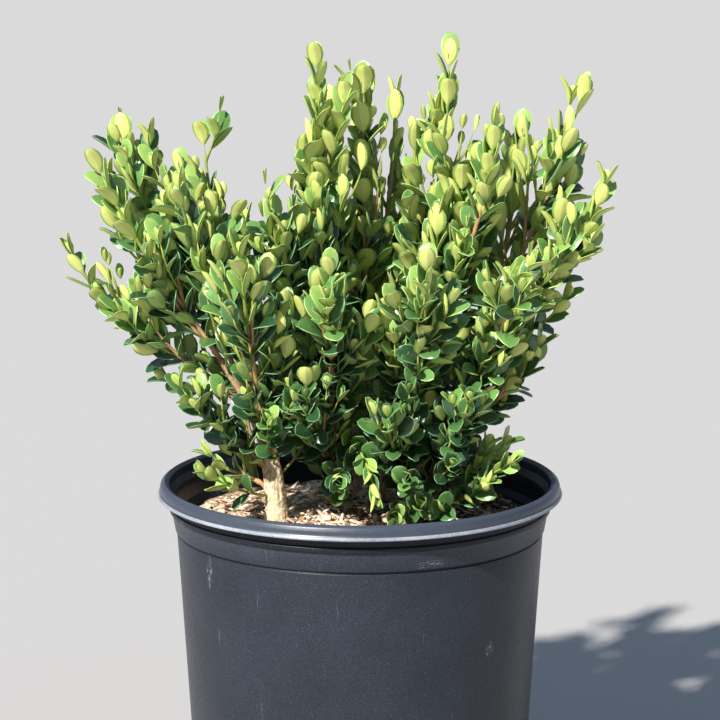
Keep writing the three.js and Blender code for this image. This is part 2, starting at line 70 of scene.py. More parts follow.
# name, stem, share of the stem, tip, bare share, side shoots, rise, and how much fresher than its height
MASSES = [
    ("far_left", "left", 0.98, (-0.1645, -0.012, 0.357), 0.3, 2, 0.45, 0.05),
    ("side_left", "left", 0.9, (-0.146, -0.034, 0.406), 0.3, 3, 0.25, -0.05),
    ("upper_left", "left", 1, (-0.1345, 0.006, 0.43), 0.32, 4, 0.6, -0.1),
    ("mid_left", "left", 0.8, (-0.099, -0.032, 0.406), 0.24, 4, 0.6, -0.1),
    ("back_left", "left", 0.7, (-0.091, 0.058, 0.413), 0.34, 2, 0.6, -0.1),
    ("front_left", "left", 0.6, (-0.064, -0.078, 0.366), 0.18, 3, 0.5, 0),
    ("low_left", "left", 0.5, (-0.104, -0.038, 0.286), 0, 2, 0.3, 0),
    ("low_side_left", "left", 0.3, (-0.092, -0.004, 0.24), 0, 1, 0.3, 0.6),
    ("inner_left", "centre_left", 0.5, (-0.05, -0.02, 0.386), 0.2, 4, 0.6, 0.05),
    ("spire_left", "centre_left", 1, (-0.024, 0, 0.461), 0, 5, 0.8, 0),
    ("front_centre", "centre_left", 0.3, (-0.016, -0.088, 0.358), 0.22, 4, 0.5, 0.08),
    ("low_centre", "centre_left", 0.12, (-0.03, -0.062, 0.292), 0, 3, 0.4, 0),
    ("spire_middle", "centre", 1, (0.002, 0.014, 0.446), 0, 4, 0.8, 0),
    ("spire_rear", "centre", 0.8, (0.021, 0.058, 0.437), 0.16, 3, 0.5, 0),
    ("back_centre", "centre", 0.4, (-0.034, 0.118, 0.392), 0.3, 4, 0.6, 0),
    ("spire_tall", "centre_right", 1, (0.049, -0.006, 0.463), 0, 5, 0.8, 0),
    ("inner_right", "centre_right", 0.75, (0.074, -0.034, 0.43), 0.18, 4, 0.7, 0),
    ("front_right", "centre_right", 0.3, (0.036, -0.09, 0.36), 0.2, 4, 0.5, 0.1),
    ("low_front", "centre_right", 0.1, (0.014, -0.07, 0.275), 0, 3, 0.4, 0),
    ("upper_right", "right", 0.9, (0.093, 0.04, 0.418), 0.24, 4, 0.7, 0),
    ("right_tip", "right", 1, (0.119, 0.01, 0.44), 0.26, 3, 0.5, 0),
    ("far_right", "right", 0.8, (0.137, -0.018, 0.397), 0.2, 4, 0.55, 0.15),
    ("right_front", "right", 0.6, (0.092, -0.072, 0.358), 0.22, 3, 0.5, 0.1),
    ("right_side", "right", 0.4, (0.104, -0.02, 0.306), 0.16, 3, 0.4, 0.1),
    ("low_right", "right", 0.16, (0.086, -0.03, 0.25), 0, 2, 0.3, 0.25),
    ("low_right_front", "right", 0.3, (0.06, -0.07, 0.284), 0, 3, 0.4, 0),
    ("back_low_left", "back", 0.5, (-0.088, 0.1, 0.33), 0.24, 3, 0.4, 0),
    ("back_low", "back", 0.75, (0.002, 0.146, 0.322), 0.24, 4, 0.3, 0),
    ("back_right", "back", 1, (0.07, 0.106, 0.39), 0.26, 3, 0.6, 0),
    ("back_low_right", "back", 0.4, (0.104, 0.078, 0.306), 0.26, 3, 0.3, 0),
]

# Each region of the crown, with its masses, becomes one piece of leaves and one of twigs.
REGIONS = {
    "fresh_left": "side_left upper_left mid_left back_left",
    "fresh_middle": "spire_left spire_middle spire_rear spire_tall",
    "fresh_right": "inner_right upper_right right_tip",
    "deep_left": "far_left front_left low_left low_side_left inner_left",
    "deep_middle": "front_centre low_centre front_right low_front",
    "deep_right": "far_right right_front right_side low_right low_right_front",
    "deep_back": "back_centre back_low_left back_low back_right back_low_right",
}

# Radii and heights of the pot and the potting mix, as in the part's source

POT = dict(
    height=0.216, rim=0.1147, mouth=0.1084, lip_foot=0.2076, neck=0.1072, bead_top=0.2021, band_top=0.1997,
    band_foot=0.1887, body=0.1041, base=0.093, corner=0.005, wall=0.0017, floor=0.0026,
)
DRAINS = dict(count=5, radius=0.007, length=0.026, inset=0.002)
MIX = dict(edge=0.191, crown=0.195, gap=0.0004, chamfer=0.001)

# Growth: the part's rule, then what only this finer crown has

# the first seed of each kind of growth, and the step from each to the next
SEEDS = dict(
    mass=(56689, 37), leader_twigs=(7000, 53), side_twigs=(17000, 59), leaves=(31000, 41),
    sprout=(41000, 71), stem_spurs=(51000, 61), bough_spurs=(61000, 67), chips=(90210, 0),
)
GOLDEN = math.pi * (3 - math.sqrt(5))
LOW_CROWN, HIGH_CROWN = 0.24, 0.43  # between these heights the leaves turn from old to fresh
SHOOTS_BELOW = 0.62  # the share of the leader that bears side shoots
SHOOT_SPREAD = (0.4, 0.2)  # radians from the leader, at the lowest and highest side shoot
SHOOT_RISE = 0.7
SHOOT_REACH = (0.5, 0.26)  # of the leader's length, at the lowest and highest side shoot
SHOOT_LEAST = 0.01  # added to every side shoot
SHOOTS_VARY = (0.85, 1.1)
SHOOTS_STRAY = dict(along=0.3, bearing=0.5)  # in the leader's share that each has, and in radians
BOUGH_RADII = (0.0025, 0.0017)
BOUGH_OVERLAP = 0.00035  # the mass begins a little past its bough's end
STEM_GAP = 0.002  # from a stem's bark to the wood of a mass without a bough
BOUGH_LEAN = 0.6  # from the stem's own direction towards the bough's tip
TIP_LEAF = 0.012  # how far the last leaves reach past a leader's end

CURVE_SAMPLES = 40
LEAF_LENGTH = 0.0222
PITCH = dict(leader=0.0104, side=0.0094, fine=0.0084)  # from one pair of leaves to the next
FIRST_PAIR, LAST_PAIR = 0.45, 0.0012  # in pitches past where leaves begin, and metres short of the end
FIRST_AT_MOST = 0.9  # the share of a shoot that its first pair never stands past
LEAVES_FROM = dict(side=0.12, axil=0.15, sprout=0.25, spur=0.3)  # shares of a shoot that are bare
TWIG_RADII = dict(leader=(0.0016, 0.0008), side=(0.0011, 0.0007), fine=(0.0008, 0.0006))
OPEN_BELOW = (0.85, 0.42)  # radians between a shoot and its leaves, at its foot and tip, low in the crown
OPEN_ABOVE = (0.62, 0.3)  # the same high in the crown
LEAF_SIZES = (0.76, 1.0)  # of that length, at the foot of the crown and at its top
LEAVES_VARY = dict(turn=0.35, open=(0.75, 1.25), roll=0.7, size=(0.78, 1.08))
TIP_SIZE, FINE_SIZE = 0.82, 0.92  # at a shoot's tip, and on a fine twig
LEAF_MIDDLE, LEAF_SIDE = 0.55, 0.22  # of its length: how far its middle and its sides are
LEAF_ROOT, SPUR_ROOT = 0.6, 0.5  # of the wood's radius: how far out each springs
LAST_LEAN = 0.22  # of the pair that closes a shoot
LAST_SIZES = (0.3, 0.45)
LAST_FRESHNESS = 0.3  # at the foot of the crown
FRESHNESS = dict(least=0.12, by_height=0.68, along=0.5, old_share=0.4, varies=0.6)
SHOOT_FRESHNESS = dict(side=0.4, axil=0.5, spur=0.3)  # how much it varies from shoot to shoot
LEAF_ROOM = 0.0044  # between the middles of two leaves
TWIG_ROOM = 0.0075  # between the ends of two fine twigs
WOOD_ROOM, END_ROOM = 0.0022, 0.001  # between leaves and wood, and what is added at a twig's end
BALL_STEP = 0.003  # between the samples of a limb
NEIGHBOURS = 60  # how many samples of leaders are looked at around a point
SIDE_TESTED_AT = 0.6  # the share of a side shoot at which its room over the pot is tested, besides its end
# how far each part of a shoot keeps from the pot's wall and the potting mix, and above its lip
POT_ROOM = dict(lip=0.002, wall=0.004, leaf=0.003, side=0.005, knee=0.004, end=0.006)
OWN_SPACE = 0.008  # how far a fine twig may reach into the next mass's space
REACH_MARGIN = 0.008  # past the box of a mass's solid

TWIG_CHANCES = dict(leader=(0.75, 0.1), side=(0.55, 0.1))  # at the foot and the tip of what bears them
TWIG_REACH = dict(leader=(0.3, 0.08), side=(0.42, 0.15))  # of its length, in the same places
TWIG_LEAST = 0.006  # added to every fine twig
TWIGS_ABOVE = 0.25  # how many fine twigs there are at the top of the crown, of those low down
TWIG_SPREAD = (0.7, 0.4)
TWIGS_VARY = dict(spread=(0.8, 1.2), reach=(0.65, 1.25))
TWIG_RISE = 0.6
YOUNG_WOOD_FROM = 0.6  # the share of a twig where its green wood begins
NODE_SWELL, NODE_LENGTH = 1.28, 0.0016  # how a twig thickens at each pair of leaves

SPUR_PITCH = dict(stem=0.0032, bough=0.011)
SPURS_FROM = dict(left=0.5, others=0.08, bough=0.1)  # shares of the left stem, the others and a bough
SPUR_SPREAD = 1.0
SPUR_REACH = (0.016, 0.04)
SPUR_RISE = 0.5
SPURS_STRAY = 0.6  # of their pitch
SPUR_DROP = 0.024  # how far the leaves of spurs may hang under the masses

SPROUT_BEND = 0.45  # the share of a sprout past its knee
# Single shoots: the stem or mass that bears each, the share of its length, tip, rise and how fresh
SPROUTS = [
    ("right", 0.08, (0.07, -0.045, 0.224), 0.35, 0.55),
    ("right", 0.05, (0.045, -0.045, 0.209), 0.6, 0.1),
    ("right", 0.3, (0.05, -0.055, 0.236), 0.2, 0.2),
    ("right", 0.22, (0.082, -0.05, 0.236), 0.3, 0.3),
    ("centre_right", 0.06, (0.019, -0.05, 0.206), 0.1, 0.5),
    ("centre_right", 0.12, (0.034, -0.05, 0.213), 0.4, 0.15),
    ("centre_right", 0.25, (0.026, -0.062, 0.23), 0.1, 0.1),
    ("centre_left", 0.08, (-0.012, -0.012, 0.21), 0.3, 0.15),
    ("centre_left", 0.2, (-0.012, -0.05, 0.226), -0.2, 0.05),
    ("centre_left", 0.5, (0.008, -0.066, 0.222), -0.9, 0.3),
    ("left", 0.3, (-0.085, -0.04, 0.228), 0.3, 0.7),
    ("left", 0.8, (-0.05, -0.06, 0.262), 0.3, 0.3),
    ("left", 0.95, (-0.036, -0.052, 0.272), 0.3, 0.2),
    ("right_tip", 0.7, (0.1245, 0.008, 0.437), 0.3, 0.5),
    ("spire_left", 0.5, (-0.009, -0.004, 0.43), 0.3, 0.4),
]

# Sky that shows through the crown from the front, as slots that were read off the photo: each runs
# from one of its pixels to another, with half its width in pixels. No leaf has its middle, tip or sides in
# one, apart from the pair that closes a shoot.
SKY_GAPS = [
    ((106, 246), (118, 284), 8), ((126, 254), (138, 254), 5), ((128, 192), (138, 190), 4),
    ((130, 102), (131, 118), 5), ((160, 198), (166, 136), 4), ((188, 240), (190, 240), 6),
    ((198, 207), (198, 203), 5), ((207, 150), (205, 174), 5), ((223, 292), (224, 292), 5),
    ((224, 212), (232, 186), 7), ((259, 188), (260, 210), 5), ((286, 184), (286, 200), 5),
    ((378, 72), (372, 112), 5), ((383, 132), (383, 210), 8), ((392, 116), (416, 107), 7),
    ((410, 140), (411, 152), 4), ((424, 154), (424, 192), 5), ((453, 158), (466, 106), 7),
    ((475, 224), (476, 224), 5), ((476, 118), (484, 112), 7), ((498, 254), (513, 218), 5),
    ((512, 250), (538, 244), 4), ((524, 212), (536, 130), 5), ((568, 134), (580, 110), 5),
    ((576, 232), (576, 228), 5), ((590, 138), (592, 158), 8),
]
PIXEL_AT_CROWN = 0.000556  # metres to a pixel, in the plane y = 0
# Boughs that show between the leaves: slots between two places (x, z) in that plane, with half their width,
# in metres. Only the leaves in front of the boughs keep out of them.
BARE_BOUGHS = [((-0.09, 0.307), (-0.072, 0.266), 0.003), ((-0.068, 0.32), (-0.06, 0.275), 0.002)]
BOUGHS_SHOW_AT = -0.022  # the y of the foremost of those boughs

# The camera stands in front of the pot and looks down on it a little (in degrees).
EYE = Vector((0, -1.46037, 0.55703))
LOOKS_DOWN = 10.591
FOCAL_PIXELS, PHOTO_PIXELS, SENSOR = 2636.0, 720, 36.0


def between(a, b, share):
    return a + (b - a) * share


def clamp(value):
    return min(1.0, max(0.0, value))


def draws(kind, index=0):
    """Park-Miller numbers from 0 to 1, the same as the part's source draws."""
    first, step = SEEDS[kind]
    state = first + step * index

    def draw():
        nonlocal state
        state = state * 16807 % 2147483647
        return state / 2147483647

    return draw


def mix_height(radius):
    return between(MIX["crown"], MIX["edge"], radius / POT["body"])


def height_share(height):
    return clamp((height - LOW_CROWN) / (HIGH_CROWN - LOW_CROWN))


class Curve:
    """A Bezier curve through its first and last control points."""

    def __init__(self, *controls):
        self.controls = [Vector(c) for c in controls]
        points = [self.point(i / CURVE_SAMPLES) for i in range(CURVE_SAMPLES + 1)]
        self.length = sum((b - a).length for a, b in zip(points, points[1:]))

    def _last_pair(self, t):
        row = self.controls
        while len(row) > 2:
            row = [a.lerp(b, t) for a, b in zip(row, row[1:])]
        return row

    def point(self, t):
        a, b = self._last_pair(t)
        return a.lerp(b, t)

    def tangent(self, t):
        a, b = self._last_pair(t)
        return (b - a).normalized()


@dataclass
class Shoot:
    mass: str
    curve: Curve
    first: float  # the share of the curve where its own wood begins
    turn: float
    kind: str
    leaves_from: float
    freshness: float
    spur: bool = False

    def radius(self, t):
        return between(*TWIG_RADII[self.kind], clamp((t - self.first) / (1 - self.first)))


def lean(direction, outward, angle):
    """A direction turned by an angle towards another, which is square to it."""
    return direction * math.cos(angle) + outward * math.sin(angle)


def square_to(tangent):
    """Two directions square to a tangent, which follow the compass bearing of +X."""
    side = Vector((1, 0, 0)) - tangent * tangent.x
    if abs(tangent.x) > 0.95:
        side = Vector((0, 1, 0)) - tangent * tangent.y
    side.normalize()
    return side, tangent.cross(side)


def face_direction(tangent, turn, face):
    """Outward from one of a shoot's four faces."""
    return lean(*square_to(tangent), turn + face * math.pi / 2)


def ring(centre, tangent, radius, sides, turn=0.0):
    side, across = square_to(tangent)
    return [centre + lean(side, across, turn + TURN * k / sides) * radius for k in range(sides)]


def bent_up(foot, way, reach, rise):
    """The controls of a shoot that keeps to its way for half its reach and then turns up."""
    knee = foot + way * (reach / 2)
    return foot, knee, knee + way.lerp(UP, rise).normalized() * (reach / 2)


def stem_curve(plan):
    x, y = plan["foot"]
    ground = mix_height(math.hypot(x, y))
    top = Vector(plan["top"])
    return Curve((x, y, ground), (x, y, between(ground, top.z, STEM_KNEE)), top)


def stem_radius(plan, length):
    def radius(t):
        rise = max(0.0, 1 - t * length / FLARE_RISE)
        return between(*plan["radii"], t) * (1 + (plan["flare"] - 1) * rise * rise)

    return radius


def branch_curve(stem, along, tip, rise):
    """Leaves its stem between the stem's own direction and the way to its tip, and turns up at the end."""
    start, end = stem.point(along), Vector(tip)
    way = end - start
    reach = way.length / 3
    way.normalize()
    first = stem.tangent(along).lerp(way, BOUGH_LEAN).normalized()
    last = way.lerp(UP, rise).normalized()
    end -= last * TIP_LEAF
    return Curve(start, start + first * reach, end - last * reach, end)


def side_curves(leader, start, count, random):
    """Side shoots spring from the leader a golden turn apart, bend up, and get shorter towards the tip."""
    length = leader.length * (1 - start)
    first_bearing = random() * TURN
    curves = []
    for k in range(count):
        share = (k + SHOOTS_STRAY["along"]) / count * SHOOTS_BELOW
        t = between(start, 1, share)
        bearing = first_bearing + k * GOLDEN + (random() - 0.5) * SHOOTS_STRAY["bearing"]
        outward = Vector((math.cos(bearing), math.sin(bearing), 0))
        way = lean(leader.tangent(t), outward, between(*SHOOT_SPREAD, share / SHOOTS_BELOW)).normalized()
        reach = length * between(*SHOOT_REACH, share / SHOOTS_BELOW) + SHOOT_LEAST
        reach *= between(*SHOOTS_VARY, random())
        curves.append(Curve(*bent_up(leader.point(t), way, reach, SHOOT_RISE)))
    return curves


# The space a shoot or leaf may take

def on_middle_plane(right, down):
    """Where the line of sight through a pixel meets the plane y = 0: x and z, to the millimetre."""
    tilt = math.radians(LOOKS_DOWN)
    across, up = (right - PHOTO_PIXELS / 2) / FOCAL_PIXELS, (PHOTO_PIXELS / 2 - down) / FOCAL_PIXELS
    reach = -EYE.y / (math.cos(tilt) + up * math.sin(tilt))
    height = EYE.z + (up * math.cos(tilt) - math.sin(tilt)) * reach
    return round(across * reach, 3), round(height, 3)


def sky_slots():
    """The gaps with sky as slots in the plane y = 0, in metres."""
    return [
        (on_middle_plane(*first), on_middle_plane(*last), round(half * PIXEL_AT_CROWN, 4))
        for first, last, half in SKY_GAPS
    ]


SKY_SLOTS = sky_slots()


def in_slot(place, slots):
    for first, last, half_width in slots:
        first, last = Vector(first), Vector(last)
        way = last - first
        nearest = first + way * clamp((place - first).dot(way) / way.length_squared)
        if (place - nearest).length < half_width:
            return True
    return False


def clear_of_sky(points):
    """Whether a leaf's points leave open the sky and the boughs that show through the crown."""
    for point in points:
        seen = EYE + (point - EYE) * (EYE.y / (EYE.y - point.y))
        place = Vector((seen.x, seen.z))
        if in_slot(place, SKY_SLOTS) or (point.y < BOUGHS_SHOW_AT and in_slot(place, BARE_BOUGHS)):
            return False
    return True


class Near:
    """Finds whether a point has been taken within a distance, by cells of that size."""

    def __init__(self, room):
        self.room = room
        self.cells = {}

    def _cell(self, point):
        return tuple(int(math.floor(c / self.room)) for c in point)

    def taken(self, point):
        x, y, z = self._cell(point)
        return any(
            (other - point).length < self.room
            for i in (x - 1, x, x + 1)
            for j in (y - 1, y, y + 1)
            for k in (z - 1, z, z + 1)
            for other in self.cells.get((i, j, k), ())
        )

    def take(self, point):
        self.cells.setdefault(self._cell(point), []).append(point.copy())


def clear_of_pot(point, part="leaf"):
    """Whether a point is above the lip, or inside the pot's mouth and above the potting mix."""
    margin = POT_ROOM[part]
    radius = math.hypot(point.x, point.y)
    if point.z > POT["height"] + POT_ROOM["lip"]:
        return True
    in_mouth = radius < POT["mouth"] - POT_ROOM["wall"] - margin
    return in_mouth and point.z > mix_height(radius) + margin


def reach_of_masses():
    """A test of whether a point is within the reach of a mass's solid, or for a spur of any."""
    reach = {name: [Vector(corner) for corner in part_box("foliage_" + name)] for name, *_ in MASSES}

    def fits(low, high, point):
        return all(a - REACH_MARGIN < c < b + REACH_MARGIN for a, c, b in zip(low, point, high))

    def within(shoot, point):
        if shoot.spur:
            return any(fits(low - UP * SPUR_DROP, high, point) for low, high in reach.values())
        return fits(*reach[shoot.mass], point)

    return within


def tree_of(points):
    tree = KDTree(len(points))
    for i, point in enumerate(points):
        tree.insert(point, i)
    tree.balance()
    return tree


class Limbs:
    """Samples of every stem and bough as balls."""

    def __init__(self):
        self.balls = []

    def add(self, curve, radius, last=1.0):
        count = math.ceil(curve.length * last / BALL_STEP)
        self.balls += [(curve.point(last * i / count), radius(last * i / count)) for i in range(count + 1)]

    def ready(self):
        self.tree = tree_of([centre for centre, _ in self.balls])
        self.widest = max(radius for _, radius in self.balls)

    def clear(self, point, margin):
        near = self.tree.find_range(point, self.widest + margin)
        return all(distance - self.balls[i][1] > margin for _, i, distance in near)


class Spaces:
    """The masses' spaces: each is what lies nearer to its own leader than to any other."""

    def __init__(self, leaders):
        samples = [
            (shoot, between(shoot.first, 1, i / CURVE_SAMPLES))
            for shoot in leaders
            for i in range(CURVE_SAMPLES + 1)
        ]
        self.tree = tree_of([shoot.curve.point(t) for shoot, t in samples])
        self.owners = [shoot.mass for shoot, _ in samples]

    def owner(self, point):
        return self.owners[self.tree.find(point)[1]]

    def own(self, point, mass):
        found = self.tree.find_n(point, NEIGHBOURS)
        distance = next((distance for _, i, distance in found if self.owners[i] == mass), math.inf)
        return distance - found[0][2] < OWN_SPACE


# Growing the crown

def node_shares(shoot):
    """Where a shoot bears its pairs of leaves."""
    length, pitch = shoot.curve.length, PITCH[shoot.kind]
    first = min(FIRST_AT_MOST, max(shoot.first, shoot.leaves_from) + FIRST_PAIR * pitch / length)
    last = 1 - LAST_PAIR / length
    pairs = max(2, round((last - first) * length / pitch) + 1)
    return [between(first, last, i / (pairs - 1)) for i in range(pairs)]


def grow_axil_twigs(parent, random, allowed):
    """Fine twigs spring from the axils of a parent's leaves, and bend up."""
    shares = node_shares(parent)
    grown = []
    for number, t in enumerate(shares[:-1]):
        share = number / len(shares)
        for face in (number % 2, number % 2 + 2):
            foot = parent.curve.point(t)
            chance = between(*TWIG_CHANCES[parent.kind], share)
            if random() > chance * between(1, TWIGS_ABOVE, height_share(foot.z)):
                continue
            tangent = parent.curve.tangent(t)
            spread = between(*TWIG_SPREAD, share) * between(*TWIGS_VARY["spread"], random())
            way = lean(tangent, face_direction(tangent, parent.turn, face), spread).normalized()
            reach = between(*TWIG_REACH[parent.kind], share) * parent.curve.length + TWIG_LEAST
            controls = bent_up(foot, way, reach * between(*TWIGS_VARY["reach"], random()), TWIG_RISE)
            turn = random() * math.pi
            if allowed(*controls[1:], parent.mass):
                fresh = parent.freshness + (random() - 0.5) * SHOOT_FRESHNESS["axil"]
                curve = Curve(*controls)
                grown.append(Shoot(parent.mass, curve, 0.0, turn, "fine", LEAVES_FROM["axil"], fresh))
    return grown


def grow_spurs(curve, radius, pitch, first, last, random, allowed, owner):
    """Short leafy spurs spring from a stem or bough all the way up, a golden turn apart."""
    count = int(curve.length * (last - first) / pitch)
    grown = []
    for k in range(count):
        t = between(first, last, (k + random() * SPURS_STRAY) / count)
        tangent = curve.tangent(t)
        outward = lean(*square_to(tangent), k * GOLDEN + random())
        way = lean(tangent, outward, SPUR_SPREAD).normalized()
        reach = between(*SPUR_REACH, random())
        controls = bent_up(curve.point(t) + outward * radius(t) * SPUR_ROOT, way, reach, SPUR_RISE)
        turn = random() * math.pi
        mass = owner(controls[-1])
        if allowed(*controls[1:], mass):
            fresh = (random() - 0.5) * SHOOT_FRESHNESS["spur"]
            grown.append(Shoot(mass, Curve(*controls), 0.0, turn, "fine", LEAVES_FROM["spur"], fresh, True))
    return grown


def grow_sprouts(curves, owner):
    """The single shoots, which the other twigs leave room for."""
    grown = []
    for index, (name, along, tip, rise, fresh) in enumerate(SPROUTS):
        foot, end = curves[name].point(along), Vector(tip)
        way = end - foot
        last = way.normalized() + UP * rise
        knee = end - last.normalized() * way.length * SPROUT_BEND
        turn = draws("sprout", index)() * math.pi
        curve = Curve(foot, knee, end)
        grown.append(Shoot(owner(end), curve, 0.0, turn, "fine", LEAVES_FROM["sprout"], fresh, True))
    return grown


def grow_masses(stems, limbs):
    """The boughs, and the leaders and side shoots of the masses."""
    boughs, leaders, sides = {}, [], []
    for index, (name, stem, along, tip, bare, count, rise, fresher) in enumerate(MASSES):
        curve = branch_curve(stems[stem], along, tip, rise)
        if bare:
            boughs[name] = (curve, bare)
            limbs.add(curve, lambda t, bare=bare: between(*BOUGH_RADII, t / bare), bare)
            start = bare + BOUGH_OVERLAP / curve.length
        else:
            start = (stem_radius(STEMS[stem], stems[stem].length)(along) + STEM_GAP) / curve.length
        random = draws("mass", index)
        leaders.append(Shoot(name, curve, bare, random() * math.pi, "leader", start, fresher))
        for side in side_curves(curve, start, count, random):
            share = random()
            fresh = fresher + (share - 0.5) * SHOOT_FRESHNESS["side"]
            sides.append(Shoot(name, side, 0.0, share * math.pi, "side", LEAVES_FROM["side"], fresh))
    return boughs, leaders, sides


def grow_crown():
    """Every shoot of the crown, with the stems' and boughs' curves."""
    stems = {name: stem_curve(plan) for name, plan in STEMS.items()}
    stem_radii = {name: stem_radius(plan, stems[name].length) for name, plan in STEMS.items()}
    limbs = Limbs()
    for name, curve in stems.items():
        limbs.add(curve, stem_radii[name])
    boughs, leaders, sides = grow_masses(stems, limbs)
    limbs.ready()
    spaces = Spaces(leaders)
    ends = Near(TWIG_ROOM)

    def allowed(knee, end, mass):
        fit = (
            clear_of_pot(end, "end")
            and clear_of_pot(knee, "knee")
            and limbs.clear(end, WOOD_ROOM + END_ROOM)
            and spaces.own(end, mass)
            and not ends.taken(end)
        )
        if fit:
            ends.take(end)
        return fit

    def open_above(curve):
        return clear_of_pot(curve.point(SIDE_TESTED_AT), "side") and clear_of_pot(curve.point(1), "end")

    sides = [side for side in sides if open_above(side.curve)]
    fine = grow_sprouts({**stems, **{leader.mass: leader.curve for leader in leaders}}, spaces.owner)
    for shoot in leaders + sides + fine:
        ends.take(shoot.curve.point(1))
    for index, (name, curve) in enumerate(stems.items()):
        pitch, first = SPUR_PITCH["stem"], SPURS_FROM.get(name, SPURS_FROM["others"])
        random = draws("stem_spurs", index)
        fine += grow_spurs(curve, stem_radii[name], pitch, first, 1, random, allowed, spaces.owner)
    for index, (curve, bare) in enumerate(boughs.values()):
        pitch, first = SPUR_PITCH["bough"], SPURS_FROM["bough"]
        random, radius = draws("bough_spurs", index), lambda t: BOUGH_RADII[0]
        fine += grow_spurs(curve, radius, pitch, first, bare, random, allowed, spaces.owner)
    for kind, parents in (("leader_twigs", leaders), ("side_twigs", sides)):
        for index, parent in enumerate(parents):
            fine += grow_axil_twigs(parent, draws(kind, index), allowed)
    return stems, boughs, limbs, leaders + sides + fine


# A leaf: an upper and a lower face that meet at the margin, each of a few columns

UPPER_COLUMNS = [-1, -0.93, 0, 0.93, 1]
UNDER_COLUMNS = [-1, -0.76, -0.07, 0.07, 0.76, 1]
STATIONS = [0, 0.08, 0.26, 0.5, 0.74, 0.92, 1]
WIDEST = 0.54
BASE_FULLNESS = 0.38  # lower is a fuller base
TIP_ROUNDNESS = 2.1  # a power: 2 gives half an ellipse
PETIOLE = 0.03  # half a petiole's width, as a share of the leaf's length
THICKNESS = 0.03
RIM_LIFT, MIDRIB_LIFT = 0.25, 0.35  # of the thickness

# width as a share of length, cup, and bend in radians: more than one of each makes no two sprays alike
LEAF_FORMS = [(0.56, 0.3, -0.2), (0.6, 0.22, 0.2), (0.66, 0.36, -0.4), (0.52, 0.26, 0.1), (0.64, 0.4, 0.5)]


def half_width(station, width):
    """An obovate outline: narrow at the petiole, widest past the middle and round at the tip."""
    if station > WIDEST:
        past = (station - WIDEST) / (1 - WIDEST)
        return width / 2 * math.sqrt(max(0.0, 1 - past**TIP_ROUNDNESS))
    rise = 0.5 - 0.5 * math.cos(math.pi * station / WIDEST)
    return max(PETIOLE, width / 2 * rise**BASE_FULLNESS)


def leaf_point(column, station, layer, form):
    width, cup, bend = form
    half = half_width(station, width)
    inner = abs(column) < 0.99 and 0 < station < 1
    lift = cup * abs(column) * half + (layer * THICKNESS / 2 if inner else 0)
    if layer > 0 and 0.8 < abs(column) < 0.99:
        lift += THICKNESS * RIM_LIFT
    if layer < 0 and abs(column) < 0.2:
        lift -= THICKNESS * MIDRIB_LIFT
    angle = bend * station
    along, rise = math.sin(angle) / bend, (1 - math.cos(angle)) / bend
    return Vector((column * half, along - lift * math.sin(angle), rise + lift * math.cos(angle)))


@dataclass
class Template:
    """A small mesh that is copied many times: its points, its faces and what each face and point is."""

    points: np.ndarray
    corners: np.ndarray
    sizes: np.ndarray
    kinds: np.ndarray
    edged: np.ndarray


def template_of(bm, edged=lambda v: False):
    bm.verts.index_update()
    template = Template(
        np.array([v.co[:] for v in bm.verts]),
        np.array([v.index for f in bm.faces for v in f.verts]),
        np.array([len(f.verts) for f in bm.faces]),
        np.array([f.material_index for f in bm.faces]),
        np.array([edged(v) for v in bm.verts]),
    )
    bm.free()
    return template


def leaf_finish_at(layer, column, count):
    """Which of LEAF_FINISHES a column of a leaf's faces has."""
    if column in (0, count - 1):
        return 1 if layer > 0 else 4
    if layer > 0:
        return 0
    return 3 if column == count // 2 else 2


def leaf_template(form):
    bm = bmesh.new()
    margin = bm.verts.layers.int.new("margin")
    for layer, columns in ((1, UPPER_COLUMNS), (-1, UNDER_COLUMNS)):
        wide, high = len(columns) - 1, len(STATIONS) - 1
        made = bmesh.ops.create_grid(bm, x_segments=wide, y_segments=high, size=0.5)["verts"]
        for face in {f for v in made for f in v.link_faces}:
            column = int((face.calc_center_median().x + 0.5) * wide)
            face.material_index = leaf_finish_at(layer, column, wide)
        for v in made:
            column = columns[round((v.co.x + 0.5) * wide)]
            station = STATIONS[round((v.co.y + 0.5) * high)]
            v[margin] = int(abs(column) > 0.99 or station == 1)
            v.co = leaf_point(column, station, layer, form)
    bmesh.ops.remove_doubles(bm, verts=bm.verts, dist=1e-5)
    bmesh.ops.dissolve_degenerate(bm, dist=1e-6, edges=bm.edges)
    bmesh.ops.recalc_face_normals(bm, faces=bm.faces)
    return template_of(bm, lambda v: bool(v[margin]))


class Joined:
    """Gathers copies of small meshes, with their materials, and makes one mesh of them."""

    def __init__(self):
        self.copies = []
        self.count = 0

    def add(self, template, place, slots):
        matrix = np.array(place)
        points = template.points @ matrix[:3, :3].T + matrix[:3, 3]
        kinds = np.array(slots)[template.kinds]
        self.copies.append((points, template.corners + self.count, template.sizes, kinds, template.edged))
        self.count += len(points)

    def mesh(self, name, materials, sharp_margins=False):
        points, corners, sizes, slots, edged = (np.concatenate(column) for column in zip(*self.copies))
        me = bpy.data.meshes.new(name)
        me.vertices.add(len(points))
        me.vertices.foreach_set("co", points.astype(np.float32).ravel())
        me.loops.add(len(corners))
        me.loops.foreach_set("vertex_index", corners.astype(np.int32))
        me.polygons.add(len(sizes))
        me.polygons.foreach_set("loop_start", (np.cumsum(sizes) - sizes).astype(np.int32))
        me.polygons.foreach_set("material_index", slots.astype(np.int32))
        me.polygons.foreach_set("use_smooth", np.ones(len(sizes), bool))
        me.update(calc_edges=True)
        for material in materials:
            me.materials.append(material)
        if sharp_margins:
            ends = np.empty(len(me.edges) * 2, np.int32)
            me.edges.foreach_get("vertices", ends)
            sharp = edged[ends.reshape(-1, 2)].all(axis=1)
            me.attributes.new("sharp_edge", "BOOLEAN", "EDGE").data.foreach_set("value", sharp)
        me.validate()
        return me


# Materials

